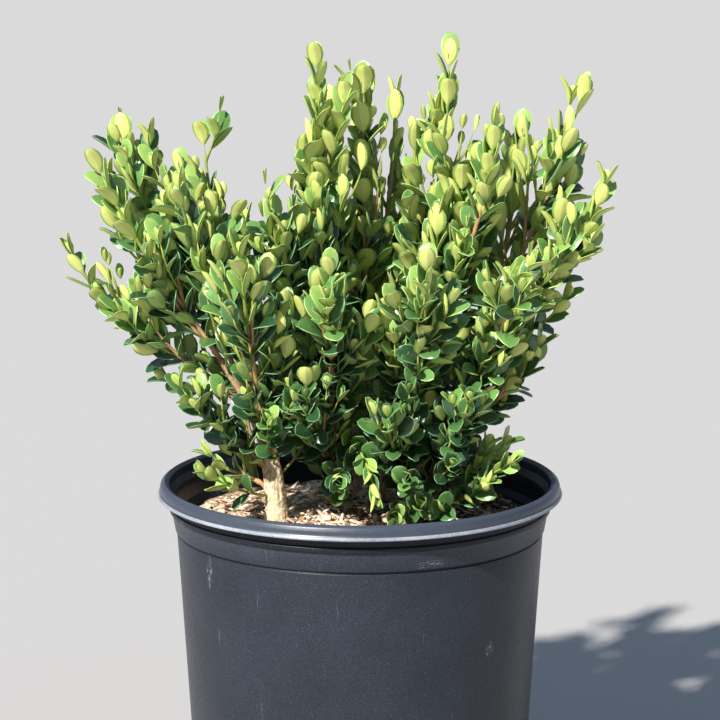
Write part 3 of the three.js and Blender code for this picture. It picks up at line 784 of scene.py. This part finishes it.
# The finishes of a leaf: the tones of each from old to fresh, how rough it is at least and at most, and wax
WAX = dict(Coat_Weight=0.3, Coat_Roughness=0.3)
LEAF_FINISHES = [
    ("Leaf upper side", ["2b4b2c", "476f3b", "64904c", "90b25e"], (0.2, 0.36), WAX),
    # the margin's pale tones are a painted highlight along the leaf's rim
    ("Leaf margin highlight", ["76a070", "b0ca74"], (0.35, 0.5), {}),
    ("Leaf underside", ["769658", "a2ba62", "c2d06c", "d4da7a"], (0.48, 0.62), {}),
    ("Leaf midrib", ["a2b878", "dae098"], (0.5, 0.6), {}),
    ("Leaf underside rim", ["5e8248", "92ad58"], (0.45, 0.6), {}),
]
FRESHNESS_STEPS = 4
UNDER_GAIN, UNDER_LIFT = 1.15, 0.12  # undersides look fresher than upper sides
TWIG_FINISHES = [("Young twig", "98a447"), ("Green twig", "8d9a48"), ("Woody twig", "bd9568")]
# those of a twig below and above where its green wood begins
TWIG_TONES = {"leader": (2, 1), "side": (2, 0), "fine": (1, 0)}
PALE_BARK = [(0.3, "8a7152"), (0.42, "c9b08a"), (0.54, "e6d2ae"), (0.7, "f3e7cf")]
BROWN_BARK = [(0.32, "5a4230"), (0.45, "a37e59"), (0.57, "cba880"), (0.72, "e5caa4")]
CRUMBS = [(0.15, "181412"), (0.36, "4a3c30"), (0.46, "8e775f"), (0.56, "bea78a"), (0.7, "dfcbae")]
# from the palest chips to the darkest, which go where painted shade falls
CHIP_TONES = ["f0e4d4", "e3cfb8", "d6bea2", "c4a78c", "a78d76", "846c5a", "54443a", "2e2622"]
LIT_AT, SHADED_AT = -0.03, 0.05  # painted shade darkens the potting mix from the left to the right

PLASTIC_TONES = [(0.2, "1f232b"), (0.45, "2b303a"), (0.95, "4a5160")]
# darker plastic for the inner wall, under the lip and in the groove under the band: painted shade
SHADED_TONES = [(0.2, "14171d"), (0.5, "1c2028")]
LIP_TONES = [(0.2, "323844"), (0.6, "4a5262")]
# pale band along the lip's lower edge: a painted highlight where the edge catches the sun
LIP_HIGHLIGHT_TONES = [(0.15, "6c7280"), (0.35, "b2b6bf")]
SCRATCH_TONE, SPECK_TONE, SCUFF_TONE = "656a74", "8d929b", "aeb2b8"
# Scuffs on the body: where, and how far each reaches sideways, into the wall and up
SCUFFS = [
    ((-0.0825, -0.0633, 0.1775), (0.0022, 0.006, 0.0125)),
    ((0.0365, -0.0975, 0.1915), (0.013, 0.006, 0.0028)),
    ((0.0715, -0.074, 0.136), (0.0035, 0.006, 0.006)),
]
FIRST_NODE, NODE_STEP = -4400, 200  # a tree's nodes stand in a row, in the order in which they are made


def rgb(code):
    """A colour from its six-digit code, in the linear light that shaders take."""
    parts = [int(code[i : i + 2], 16) / 255 for i in (0, 2, 4)]
    return tuple(p / 12.92 if p <= 0.04045 else ((p + 0.055) / 1.055) ** 2.4 for p in parts) + (1.0,)


def add_node(tree, kind, inputs=(), **settings):
    """A new node. Each of its inputs is joined to a socket or set to a value."""
    node = tree.nodes.new("ShaderNode" + kind)
    node.location = (FIRST_NODE + NODE_STEP * len(tree.nodes), 0)
    for name, value in settings.items():
        setattr(node, name, value)
    for name, value in dict(inputs).items():
        if isinstance(value, bpy.types.NodeSocket):
            tree.links.new(value, node.inputs[name])
        else:
            node.inputs[name].default_value = value
    return node


def noise_on(tree, place, scale, detail, roughness):
    inputs = {"Vector": place, "Scale": scale, "Detail": detail, "Roughness": roughness}
    return add_node(tree, "TexNoise", inputs).outputs["Fac"]


def remapped(tree, source, low, high, most=1.0, least=0.0):
    inputs = {"Value": source, "From Min": low, "From Max": high, "To Min": least, "To Max": most}
    return add_node(tree, "MapRange", inputs).outputs["Result"]


def worked_out(tree, operation, *sources):
    return add_node(tree, "Math", enumerate(sources), operation=operation).outputs["Value"]


def laid_over(tree, mask, code, base):
    """One plain colour over another where a mask says so."""
    inputs = {"Factor": mask, "A": base, "B": rgb(code)}
    return add_node(tree, "Mix", inputs, data_type="RGBA").outputs["Result"]


def ramp(tree, source, stops):
    """A colour ramp fed by a socket: stops are pairs of a place and a colour's code."""
    node = add_node(tree, "ValToRGB", {"Fac": source})
    elements = node.color_ramp.elements
    while len(elements) < len(stops):
        elements.new(0.5)
    for element, (place, code) in zip(elements, stops):
        element.position = place
        element.color = rgb(code)
    return node.outputs["Color"]


def object_place(tree, stretch=(1, 1, 1)):
    """Object coordinates, stretched by a Mapping node."""
    where = add_node(tree, "TexCoord").outputs["Object"]
    return add_node(tree, "Mapping", {"Vector": where, "Scale": stretch}).outputs["Vector"]


def new_group(name, taken, given):
    """A node group with its named inputs and outputs, and their sockets as seen from inside."""
    group = bpy.data.node_groups.new(name, "ShaderNodeTree")
    for in_out, sockets in (("INPUT", taken), ("OUTPUT", given)):
        for label, kind in sockets.items():
            group.interface.new_socket(label, in_out=in_out, socket_type="NodeSocket" + kind)
    start, end = group.nodes.new("NodeGroupInput"), group.nodes.new("NodeGroupOutput")
    start.location, end.location = (FIRST_NODE, 0), (0, 0)
    return group, start.outputs, end.inputs


def grain_group():
    """Fine grain: a roughness between two values and a height, from noise on the piece."""
    taken = dict(Vector="Vector", Scale="Float", Smooth="Float", Rough="Float")
    group, start, end = new_group("Fine grain", taken, dict(Roughness="Float", Height="Float"))
    fine = noise_on(group, start["Vector"], start["Scale"], 4.0, 0.6)
    group.links.new(remapped(group, fine, 0.35, 0.65, start["Rough"], start["Smooth"]), end["Roughness"])
    group.links.new(fine, end["Height"])
    return group


def scuff_group():
    """A patch of scratches that fades out from its centre, as a mask."""
    taken = dict(Vector="Vector", Centre="Vector", Reach="Vector")
    group, start, end = new_group("Scuffed patch", taken, dict(Mask="Float"))
    offset = add_node(group, "VectorMath", {0: start["Vector"], 1: start["Centre"]}, operation="SUBTRACT")
    inputs = {0: offset.outputs["Vector"], 1: start["Reach"]}
    share = add_node(group, "VectorMath", inputs, operation="DIVIDE").outputs["Vector"]
    away = add_node(group, "VectorMath", {0: share}, operation="LENGTH").outputs["Value"]
    fade = remapped(group, away, 1.0, 0.4)
    broken = remapped(group, noise_on(group, share, 4.0, 6.0, 0.75), 0.53, 0.62)
    group.links.new(worked_out(group, "MULTIPLY", fade, broken), end["Mask"])
    return group


def new_material(name, **sockets):
    material = bpy.data.materials.new(name)
    material.use_nodes = True
    shader = material.node_tree.nodes["Principled BSDF"]
    for socket, value in sockets.items():
        shader.inputs[socket.replace("_", " ")].default_value = value
    return material, material.node_tree, shader


def add_grain(tree, shader, group, scale, smooth, rough, bump, distance=0.0002, stretch=(1, 1, 1)):
    """Places the grain group in a material, with its roughness and a bump."""
    inputs = {"Vector": object_place(tree, stretch), "Scale": scale, "Smooth": smooth, "Rough": rough}
    grain = add_node(tree, "Group", inputs, node_tree=group).outputs
    lift = add_node(tree, "Bump", {"Strength": bump, "Distance": distance, "Height": grain["Height"]})
    tree.links.new(grain["Roughness"], shader.inputs["Roughness"])
    tree.links.new(lift.outputs["Normal"], shader.inputs["Normal"])


def plain_material(name, tone, grain, *finish, **sockets):
    """One plain colour with a fine grain."""
    material, tree, shader = new_material(name, Base_Color=rgb(tone), **sockets)
    add_grain(tree, shader, grain, *finish)
    return material


def leaf_materials(grain):
    """Plain colours that are dealt out by spray, with a leaf's waxy grain."""
    return [
        plain_material(f"{label} {number + 1}", tone, grain, 900.0, *rough, 0.25, **wax)
        for label, tones, rough, wax in LEAF_FINISHES
        for number, tone in enumerate(tones)
    ]


def leaf_slots(freshness):
    """The materials of a leaf's finishes, by its freshness."""
    step = min(FRESHNESS_STEPS - 1, int(clamp(freshness) * FRESHNESS_STEPS))
    under = min(FRESHNESS_STEPS - 1, int(clamp(freshness * UNDER_GAIN + UNDER_LIFT) * FRESHNESS_STEPS))
    slots, first = [], 0
    for (_, tones, _, _), tone in zip(LEAF_FINISHES, (step, step // 2, under, step // 2, under // 2)):
        slots.append(first + tone)
        first += len(tones)
    return slots


def bark_material(name, grain, stops):
    """Bark with lengthwise streaks of several browns and a cracked, fibrous relief."""
    material, tree, shader = new_material(name)
    streaks = noise_on(tree, object_place(tree, (1, 1, 0.4)), 620.0, 6.0, 0.7)
    tree.links.new(ramp(tree, streaks, stops), shader.inputs["Base Color"])
    add_grain(tree, shader, grain, 1100.0, 0.75, 0.95, 0.9, 0.0006, (1, 1, 0.5))
    return material


def plastic_material(
    grain, name, tones, pale_top, rough=(0.34, 0.48), flecks=0.36, bump=0.1, shine=0.3, scuffs=()
):
    """Black moulded plastic: satin, scratched and faintly specked, with scuffs, and paler towards the top.
    """
    material, tree, shader = new_material(name, Specular_IOR_Level=shine)
    place = object_place(tree)
    cloud = noise_on(tree, place, 26.0, 5.0, 0.6)
    height = add_node(tree, "SeparateXYZ", {"Vector": place}).outputs["Z"]
    # paler towards the top of the pot
    paling = remapped(tree, height, 0.186, POT["height"], pale_top)
    mottled = worked_out(tree, "MULTIPLY_ADD", cloud, 0.35, paling)
    fleck = remapped(tree, noise_on(tree, place, 1500.0, 2.0, 0.5), 0.3, 0.7, flecks)
    colour = ramp(tree, worked_out(tree, "ADD", mottled, fleck), tones)
    fibres = noise_on(tree, object_place(tree, (1, 1, 0.05)), 330.0, 3.0, 0.5)
    worn = remapped(tree, cloud, 0.5, 0.62)
    scratches = worked_out(tree, "MULTIPLY", remapped(tree, fibres, 0.66, 0.76), worn)
    colour = laid_over(tree, scratches, SCRATCH_TONE, colour)
    cells = add_node(tree, "TexVoronoi", {"Vector": place, "Scale": 420.0, "Randomness": 1.0})
    specks = remapped(tree, cells.outputs["Distance"], 0.085, 0.04, 0.7)
    colour = laid_over(tree, specks, SPECK_TONE, colour)
    group = scuff_group() if scuffs else None
    for centre, reach in scuffs:
        patch = add_node(tree, "Group", node_tree=group)
        tree.links.new(place, patch.inputs["Vector"])
        patch.inputs["Centre"].default_value = centre
        patch.inputs["Reach"].default_value = reach
        colour = laid_over(tree, patch.outputs["Mask"], SCUFF_TONE, colour)
    tree.links.new(colour, shader.inputs["Base Color"])
    add_grain(tree, shader, grain, 700.0, *rough, bump)
    return material


def mix_material(grain):
    """Potting mix: crumbs with paler fibres, darker towards the right with painted shade."""
    material, tree, shader = new_material("Potting mix")
    place = object_place(tree)
    across = add_node(tree, "SeparateXYZ", {"Vector": place}).outputs["X"]
    # painted shade: the mix darkens towards the right
    painted_shade = remapped(tree, across, LIT_AT, SHADED_AT, -0.2)
    darker = worked_out(tree, "ADD", noise_on(tree, place, 330.0, 8.0, 0.7), painted_shade)
    tree.links.new(ramp(tree, darker, CRUMBS), shader.inputs["Base Color"])
    add_grain(tree, shader, grain, 500.0, 0.85, 1.0, 0.9, 0.001)
    return material


# Pieces

def new_object(name, data):
    thing = bpy.data.objects.new(name, data)
    bpy.context.scene.collection.objects.link(thing)
    return thing


def place_piece(name, mesh, nodes):
    piece = new_object(name, mesh)
    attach(piece, "root")
    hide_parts(*nodes)
    return piece


def finished(bm, name, *materials):
    """A mesh with smooth faces from a bmesh."""
    mesh = bpy.data.meshes.new(name)
    bm.to_mesh(mesh)
    bm.free()
    for material in materials:
        mesh.materials.append(material)
    mesh.polygons.foreach_set("use_smooth", np.ones(len(mesh.polygons), bool))
    return mesh


def tube(rings, young_from=math.inf):
    """A closed tube through rings of points, with a second material from one ring on."""
    sides, rows = len(rings[0]), len(rings) - 1
    bm = bmesh.new()
    bmesh.ops.create_grid(bm, x_segments=sides, y_segments=rows, size=0.5)
    for face in bm.faces:
        row = int((face.calc_center_median().y + 0.5) * rows)
        face.material_index = int(row >= young_from)
    for v in bm.verts:
        v.co = rings[round((v.co.y + 0.5) * rows)][round((v.co.x + 0.5) * sides) % sides]
    bmesh.ops.remove_doubles(bm, verts=bm.verts, dist=1e-7)
    bmesh.ops.holes_fill(bm, edges=[e for e in bm.edges if e.is_boundary], sides=0)
    bmesh.ops.recalc_face_normals(bm, faces=bm.faces)
    return bm


RIDGES, CRACKS = Vector((420, 420, 130)), Vector((1000, 1000, 520))  # how many to a metre each way
CRACKS_START, CRACK_SHARE = Vector((7, 3, 1)), 0.8


def bark_relief(at, relief):
    """How far bark stands out at a place: lengthwise ridges, and finer cracks across them."""
    return relief * (noise.noise(at * RIDGES) + CRACK_SHARE * noise.noise(at * CRACKS + CRACKS_START))


def limb_mesh(name, curve, radius, last, sides, step, relief, material):
    """A limb ring by ring along its curve, with relief in its bark."""
    count = math.ceil(curve.length * last / step)
    rings = []
    for i in range(count + 1):
        t = last * i / count
        centre = curve.point(t)
        smooth = ring(centre, curve.tangent(t), radius(t), sides)
        rings.append([at + (at - centre).normalized() * bark_relief(at, relief) for at in smooth])
    return finished(tube(rings), name, material)


# how many sides a limb has, and the step from ring to ring
THICK_LIMB, THIN_LIMB, BOUGH_LIMB = (64, 0.0006), (28, 0.0009), (18, 0.0014)
STEM_RELIEF, BOUGH_RELIEF = 0.11, 0.0003  # of a stem's radius, and in metres
SUNK = 0.004  # how far a stem runs on into the potting mix
COLLAR = dict(length=0.012, swell=0.3)  # where a bough leaves its stem


def make_wood(stems, boughs, grain):
    bark = bark_material("Brown bark", grain, BROWN_BARK)
    pale_bark = bark_material("Pale bark", grain, PALE_BARK)
    for name, plan in STEMS.items():
        curve = stems[name]
        sunk = Curve(curve.controls[0] - UP * SUNK, *curve.controls[1:])
        relief = plan["radii"][0] * STEM_RELIEF
        piece, thick = f"stem_{name}_bark", name == "left"
        sides, step = THICK_LIMB if thick else THIN_LIMB
        material = pale_bark if thick else bark
        mesh = limb_mesh(piece, sunk, stem_radius(plan, curve.length), 1.0, sides, step, relief, material)
        place_piece(piece, mesh, ["stem_" + name])
    for name, (curve, bare) in boughs.items():

        def radius(t, bare=bare, length=curve.length):
            collar = max(0.0, 1 - t * length / COLLAR["length"])
            return between(*BOUGH_RADII, t / bare) * (1 + COLLAR["swell"] * collar * collar)

        mesh = limb_mesh("bark_" + name, curve, radius, bare, *BOUGH_LIMB, BOUGH_RELIEF, bark)
        place_piece("bark_" + name, mesh, ["bough_" + name])


def twig_template(shoot):
    """A twig as a tapering six-sided tube that thickens at each pair of leaves and ends in a point."""
    curve, sides = shoot.curve, 6
    swells = {round(shoot.first, 5): 1.0}
    for t in node_shares(shoot)[:-1]:
        gap = NODE_LENGTH / curve.length
        for at, swell in ((t - gap, 1.0), (t, NODE_SWELL), (t + gap, 1.0)):
            if at >= shoot.first:
                swells[round(at, 5)] = swell
    stations = sorted(swells.items())
    rings = [
        ring(curve.point(t), curve.tangent(t), shoot.radius(t) * swell, sides, shoot.turn)
        for t, swell in stations
    ]
    rings.append([curve.point(1)] * sides)
    young = between(shoot.first, 1, YOUNG_WOOD_FROM)
    return template_of(tube(rings, sum(t <= young for t, _ in stations)))


def leaf_place(root, axis, normal, size):
    basis = Matrix((axis.cross(normal), axis, normal)).transposed() * size
    return Matrix.Translation(root) @ basis.to_4x4()


def grow_leaves(shoots, limbs, within, templates):
    """Every leaf with its mass, template, place and freshness. Each is clear of wood, pot and others."""
    taken = Near(LEAF_ROOM)

    def fits(shoot, middle, tip, side):
        return (
            not taken.taken(middle)
            and within(shoot, tip)
            and all(clear_of_pot(at) and limbs.clear(at, WOOD_ROOM) for at in (middle, tip))
            and clear_of_sky([middle, tip, middle + side, middle - side])
        )

    kept = []
    for index, shoot in enumerate(shoots):
        random = draws("leaves", index)
        shares = node_shares(shoot)
        for number, t in enumerate(shares):
            share = number / (len(shares) - 1)
            tangent, centre = shoot.curve.tangent(t), shoot.curve.point(t)
            high = height_share(centre.z)
            opening = between(*(between(a, b, high) for a, b in zip(OPEN_BELOW, OPEN_ABOVE)), share)
            for face in (number % 2, number % 2 + 2):
                turn, wide, roll, large, fresher, form = (random() for _ in range(6))
                strays = (turn - 0.5) * LEAVES_VARY["turn"]
                outward = face_direction(tangent, shoot.turn, face + strays)
                angle = opening * between(*LEAVES_VARY["open"], wide)
                axis = lean(tangent, outward, angle)
                normal = tangent * math.sin(angle) - outward * math.cos(angle)
                normal = Matrix.Rotation((roll - 0.5) * LEAVES_VARY["roll"], 3, axis) @ normal
                size = LEAF_LENGTH * between(*LEAF_SIZES, high) * between(*LEAVES_VARY["size"], large)
                size *= between(1.0, TIP_SIZE, share**2)
                if shoot.kind == "fine":
                    size *= FINE_SIZE
                root = centre + outward * shoot.radius(t) * LEAF_ROOT
                middle, tip = root + axis * size * LEAF_MIDDLE, root + axis * size
                if not fits(shoot, middle, tip, axis.cross(normal) * size * LEAF_SIDE):
                    continue
                taken.take(middle)
                fresh = FRESHNESS["least"] + FRESHNESS["by_height"] * high
                fresh += FRESHNESS["along"] * (share - FRESHNESS["old_share"]) + shoot.freshness
                fresh += (fresher - 0.5) * FRESHNESS["varies"]
                template = templates[int(form * len(templates)) % len(templates)]
                kept.append((shoot.mass, template, leaf_place(root, axis, normal, size), fresh))
        tangent, end = shoot.curve.tangent(1), shoot.curve.point(1)
        for face in (0, 2):
            outward = face_direction(tangent, shoot.turn, face + len(shares) % 2)
            axis = (tangent + outward * LAST_LEAN).normalized()
            normal = (tangent * LAST_LEAN - outward).normalized()
            place = leaf_place(end, axis, normal, LEAF_LENGTH * between(*LAST_SIZES, random()))
            fresh = between(LAST_FRESHNESS, 1, height_share(end.z)) + shoot.freshness
            kept.append((shoot.mass, templates[1], place, fresh))
    return kept


def make_foliage(shoots, limbs, grain):
    templates = [leaf_template(form) for form in LEAF_FORMS]
    leaf_finish = leaf_materials(grain)
    twig_finish = [
        plain_material(name, tone, grain, 1400.0, 0.5, 0.75, 0.4, 0.0002, (1, 1, 0.3))
        for name, tone in TWIG_FINISHES
    ]
    leaves = grow_leaves(shoots, limbs, reach_of_masses(), templates)
    for region, masses in REGIONS.items():
        masses = masses.split()
        nodes = ["foliage_" + mass for mass in masses]
        blades, wood = Joined(), Joined()
        for mass, template, place, fresh in leaves:
            if mass in masses:
                blades.add(template, place, leaf_slots(fresh))
        for shoot in shoots:
            if shoot.mass in masses:
                wood.add(twig_template(shoot), Matrix(), TWIG_TONES[shoot.kind])
        place_piece("leaves_" + region, blades.mesh("leaves_" + region, leaf_finish, True), nodes)
        place_piece("twigs_" + region, wood.mesh("twigs_" + region, twig_finish), nodes)


def spun(points, segments, rounding):
    """A closed profile with rounded corners, turned about the z axis."""
    bm = bmesh.new()
    profile = [bm.verts.new((radius, 0, height)) for radius, height in points]
    for a, b in zip(profile, profile[1:]):
        bm.edges.new((a, b))
    if rounding:
        bmesh.ops.bevel(
            bm, geom=profile[1:-1], offset=rounding, offset_type="OFFSET", segments=3, profile=0.5,
            affect="VERTICES", material=-1, clamp_overlap=True,
        )
    bmesh.ops.spin(
        bm, geom=bm.verts[:] + bm.edges[:], cent=(0, 0, 0), axis=(0, 0, 1), angle=TURN,
        steps=segments, use_merge=True,
    )
    bmesh.ops.remove_doubles(bm, verts=bm.verts, dist=1e-5)
    bmesh.ops.recalc_face_normals(bm, faces=bm.faces)
    return bm


POT_SEGMENTS, MIX_SEGMENTS, MIX_RINGS = 160, 144, 60
BODY_RINGS = [0.013, 0.02, 0.05, 0.085, 0.12, 0.155]  # heights, the lowest just above the drain holes
# The pot's upper section, up the outside and down the inside: a radius and a height from POT, each with
# what is added to it. A groove runs under the band, and a rounded ridge along the foot of the lip.
UPPER_SECTION = [
    ("body", 0, "band_foot", -0.0019), ("body", -0.0007, "band_foot", -0.0015),
    ("body", -0.0007, "band_foot", -0.0003), ("body", 0.0009, "band_foot", -0.0001),
    ("neck", -0.0004, "band_top", -0.0006), ("neck", 0.001, "band_top", 0),
    ("neck", 0.001, "bead_top", 0), ("neck", 0, "bead_top", 0.0008),
    ("neck", 0, "lip_foot", 0.0006), ("rim", -0.0009, "lip_foot", 0),
    ("rim", 0, "lip_foot", 0.0005), ("rim", 0, "lip_foot", 0.001),
    ("rim", -0.0003, "lip_foot", 0.0017), ("rim", -0.0009, "lip_foot", 0.0024),
    ("rim", -0.0012, "lip_foot", 0.0032), ("rim", -0.0012, "lip_foot", 0.005),
    ("rim", -0.0019, "height", -0.0014), ("rim", -0.0038, "height", 0),
    ("mouth", 0, "height", -0.0014), ("mouth", -0.0005, "height", -0.0055),
    ("mouth", -0.0029, "height", -0.0095), ("mouth", -0.0034, "height", -0.0126),
    ("mouth", -0.0039, "height", -0.0202),
]
INNER_SHOULDER = 0.0244  # from the top of the pot down to where its wall runs straight
# how far in from the rim and how far up from the lip's foot the painted highlight reaches
HIGHLIGHT_EDGE = dict(width=0.0008, rise=0.0022)
GROOVE = (0.0016, 0.0002)  # below the band's foot
BEND = 0.0005  # the radius of the section's corners
FACES_IN = -0.3  # how far a face of the inner wall turns from outward, as a cosine


def pot_profile():
    base, body, corner, wall, floor = (POT[name] for name in ("base", "body", "corner", "wall", "floor"))
    body_rise = POT["band_foot"] - corner
    rings = [(between(base, body, (z - corner) / body_rise), z) for z in BODY_RINGS]
    upper = [(POT[radius] + wider, POT[height] + higher) for radius, wider, height, higher in UPPER_SECTION]
    outside = [(0, 0), (base - corner, 0), (base, corner), *rings]
    straight = [(body - wall, POT["height"] - INNER_SHOULDER), (base - wall, floor + corner)]
    return outside + upper + straight + [(base - wall - corner, floor), (0, floor)]


def pot_finish(face):
    """Which plastic a face of the pot has: the body's, the darker one with painted shade, the painted
    highlight's or the lip's.
    """
    middle = face.calc_center_median()
    outward = Vector((middle.x, middle.y, 0)).normalized()
    # A narrow band at the foot of the lip gets the pale plastic: a painted highlight.
    at_rim = middle.xy.length > POT["rim"] - HIGHLIGHT_EDGE["width"]
    if at_rim and middle.z < POT["lip_foot"] + HIGHLIGHT_EDGE["rise"]:
        return 2
    # The inner wall, the neck and bead under the lip and the groove under the band get the darker plastic:
    # painted shade.
    under_lip = POT["band_top"] - BEND < middle.z < POT["lip_foot"]
    in_groove = POT["band_foot"] - GROOVE[0] < middle.z < POT["band_foot"] - GROOVE[1]
    if face.normal.dot(outward) < FACES_IN or under_lip or in_groove:
        return 1
    return 3 if middle.z > POT["lip_foot"] else 0


def make_pot(grain):
    bm = spun(pot_profile(), POT_SEGMENTS, BEND)
    for face in bm.faces:
        face.material_index = pot_finish(face)
    plastics = [
        plastic_material(grain, "Pot plastic", PLASTIC_TONES, 0.55, scuffs=SCUFFS),
        # the darker plastic: painted shade
        plastic_material(grain, "Plastic in painted shade", SHADED_TONES, 0.0),
        # the pale plastic of the lip's lower edge: a painted highlight
        plastic_material(grain, "Painted highlight on lip edge", LIP_HIGHLIGHT_TONES, 0.0, (0.3, 0.4), 0.1, 0.03, 0.5),
        plastic_material(grain, "Polished lip", LIP_TONES, 0.1, (0.32, 0.4), 0.1, 0.03, 0.65),
    ]
    pot = place_piece("pot_shell", finished(bm, "pot_shell", *plastics), ["pot"])
    cutters = bmesh.new()
    for i in range(DRAINS["count"]):
        turned = Matrix.Rotation((i + 0.5) * TURN / DRAINS["count"], 4, "Z")
        foot = Matrix.Translation((POT["base"] - DRAINS["inset"], 0, DRAINS["inset"]))
        bmesh.ops.create_cone(
            cutters, cap_ends=True, segments=24, radius1=DRAINS["radius"], radius2=DRAINS["radius"],
            depth=DRAINS["length"], matrix=turned @ foot @ Matrix.Rotation(math.pi / 2, 4, "X"),
        )
    holes = new_object("drain_cutters", finished(cutters, "drain_cutters", plastics[0]))
    cut = pot.modifiers.new("Drain holes", "BOOLEAN")
    cut.object, cut.operation, cut.solver = holes, "DIFFERENCE", "EXACT"
    shaped = bpy.data.meshes.new_from_object(pot.evaluated_get(bpy.context.evaluated_depsgraph_get()))
    pot.modifiers.clear()
    pot.data = shaped
    bpy.data.objects.remove(holes)


LUMPS = [(60, 0, 0.0014), (260, 5, 0.0007)]  # how many to a metre, a layer of noise, and how high


def ground_height(x, y):
    """The surface of the potting mix, with crumbs and hollows."""
    lumps = sum(noise.noise(Vector((x * many, y * many, layer))) * high for many, layer, high in LUMPS)
    return mix_height(math.hypot(x, y)) + lumps


def make_mix(grain):
    foot = POT["base"] - POT["wall"] - MIX["gap"]
    top = POT["body"] - POT["wall"] - MIX["gap"]
    low, corner = POT["floor"] + MIX["gap"], POT["corner"] + MIX["chamfer"]
    radii = [top * i / MIX_RINGS for i in range(MIX_RINGS, -1, -1)]
    surface = [(radius, mix_height(radius)) for radius in radii]
    points = [(0, low), (foot - corner, low), (foot - MIX["gap"], POT["floor"] + corner)] + surface
    bm = spun(points, MIX_SEGMENTS, 0)
    for v in bm.verts:
        if v.co.z > MIX["edge"] - MIX["chamfer"]:
            v.co.z = ground_height(v.co.x, v.co.y)
    mesh = finished(bm, "potting_mix_surface", mix_material(grain))
    place_piece("potting_mix_surface", mesh, ["potting_mix"])


CHIPS = dict(count=2600, forms=8, rim_gap=0.006, tilt=1.1, lift=0.0008, worn=0.14)
TONE_SPREAD, SHADE_DARKENS = (0.66, 0.55), 0.4  # of the row of tones: where lit and where in painted shade, and what painted shade adds
CHIP_LENGTHS = (0.0014, 0.0115)
CHIP_WIDTHS = (0.14, 0.6)  # of the length
CHIP_THICKNESSES = (0.0005, 0.0013)
FEW_LONG, FEW_WIDE = 3.2, 1.3  # powers that make most chips short and narrow
CHIP_CORNERS = ((0.75, 1.15), (0.55, 1.2), (0.7, 1.2))  # how far each corner of a chip strays, by axis


def chip_template(random):
    """A bark chip: a flat splinter with worn corners."""
    bm = bmesh.new()
    for v in bmesh.ops.create_cube(bm, size=1.0)["verts"]:
        for axis, limits in enumerate(CHIP_CORNERS):
            v.co[axis] *= between(*limits, random())
    bmesh.ops.bevel(
        bm, geom=bm.edges[:], offset=CHIPS["worn"], offset_type="OFFSET", segments=1, profile=0.5,
        affect="EDGES", material=-1,
    )
    return template_of(bm)


def make_chips(grain):
    """Bark chips and splinters over the potting mix."""
    random = draws("chips")
    forms = [chip_template(random) for _ in range(CHIPS["forms"])]
    reach = POT["body"] - POT["wall"] - CHIPS["rim_gap"]
    chips = Joined()
    for _ in range(CHIPS["count"]):
        radius, bearing = reach * math.sqrt(random()), random() * TURN
        x, y = radius * math.cos(bearing), radius * math.sin(bearing)
        length = between(*CHIP_LENGTHS, random() ** FEW_LONG)
        wide = length * between(*CHIP_WIDTHS, random() ** FEW_WIDE)
        thick = between(*CHIP_THICKNESSES, random())
        tilt = Euler(((random() - 0.5) * CHIPS["tilt"], (random() - 0.5) * CHIPS["tilt"], random() * TURN))
        at = Vector((x, y, ground_height(x, y) + thick * 0.5 + random() * CHIPS["lift"]))
        stretch = Matrix.Diagonal((length, wide, thick, 1))
        place = Matrix.Translation(at) @ tilt.to_matrix().to_4x4() @ stretch
        # painted shade darkens the chips towards the right
        painted_shade = clamp((x - LIT_AT) / (SHADED_AT - LIT_AT))
        tone = clamp(random() * between(*TONE_SPREAD, painted_shade) + SHADE_DARKENS * painted_shade)
        form = forms[int(random() * len(forms)) % len(forms)]
        chips.add(form, place, [int(tone * (len(CHIP_TONES) - 1))])
    finishes = [
        plain_material(f"Bark chip {number + 1}", tone, grain, 900.0, 0.75, 0.95, 0.8, 0.0004)
        for number, tone in enumerate(CHIP_TONES)
    ]
    place_piece("bark_chips", chips.mesh("bark_chips", finishes), ["potting_mix"])


# Stage

SUN = dict(energy=7.1, angle=math.radians(2), color=(1.0, 0.965, 0.9))
TOWARDS_SUN = Vector((-0.95, -1.35, 1.42))
SKY = dict(Color=(0.55, 0.72, 1.0, 1), Strength=0.4)


def make_floor():
    bm = bmesh.new()
    bmesh.ops.create_grid(bm, x_segments=1, y_segments=1, size=30.0)
    material, _, _ = new_material("Pale floor", Base_Color=rgb("adabaa"), Roughness=0.9)
    new_object("floor", finished(bm, "floor", material))


def make_lights():
    """Sunlight from the upper left in front, and a pale sky."""
    sun = bpy.data.lights.new("key", "SUN")
    for name, value in SUN.items():
        setattr(sun, name, value)
    lamp = new_object("key", sun)
    lamp.rotation_euler = TOWARDS_SUN.to_track_quat("Z", "Y").to_euler()
    world = bpy.data.worlds.new("Pale sky")
    world.use_nodes = True
    for name, value in SKY.items():
        world.node_tree.nodes["Background"].inputs[name].default_value = value
    bpy.context.scene.world = world


def make_camera():
    camera = bpy.data.cameras.new("camera")
    camera.sensor_width = SENSOR
    camera.lens = SENSOR * FOCAL_PIXELS / PHOTO_PIXELS
    camera.clip_start, camera.clip_end = 0.05, 200
    holder = new_object("camera", camera)
    holder.location = EYE
    holder.rotation_euler = (math.radians(90 - LOOKS_DOWN), 0, 0)
    bpy.context.scene.camera = holder


def main():
    make_camera()
    make_lights()
    make_floor()
    bpy.context.scene.view_settings.view_transform = "Standard"
    grain = grain_group()
    stems, boughs, limbs, shoots = grow_crown()
    make_wood(stems, boughs, grain)
    make_foliage(shoots, limbs, grain)
    make_pot(grain)
    make_mix(grain)
    make_chips(grain)


main()
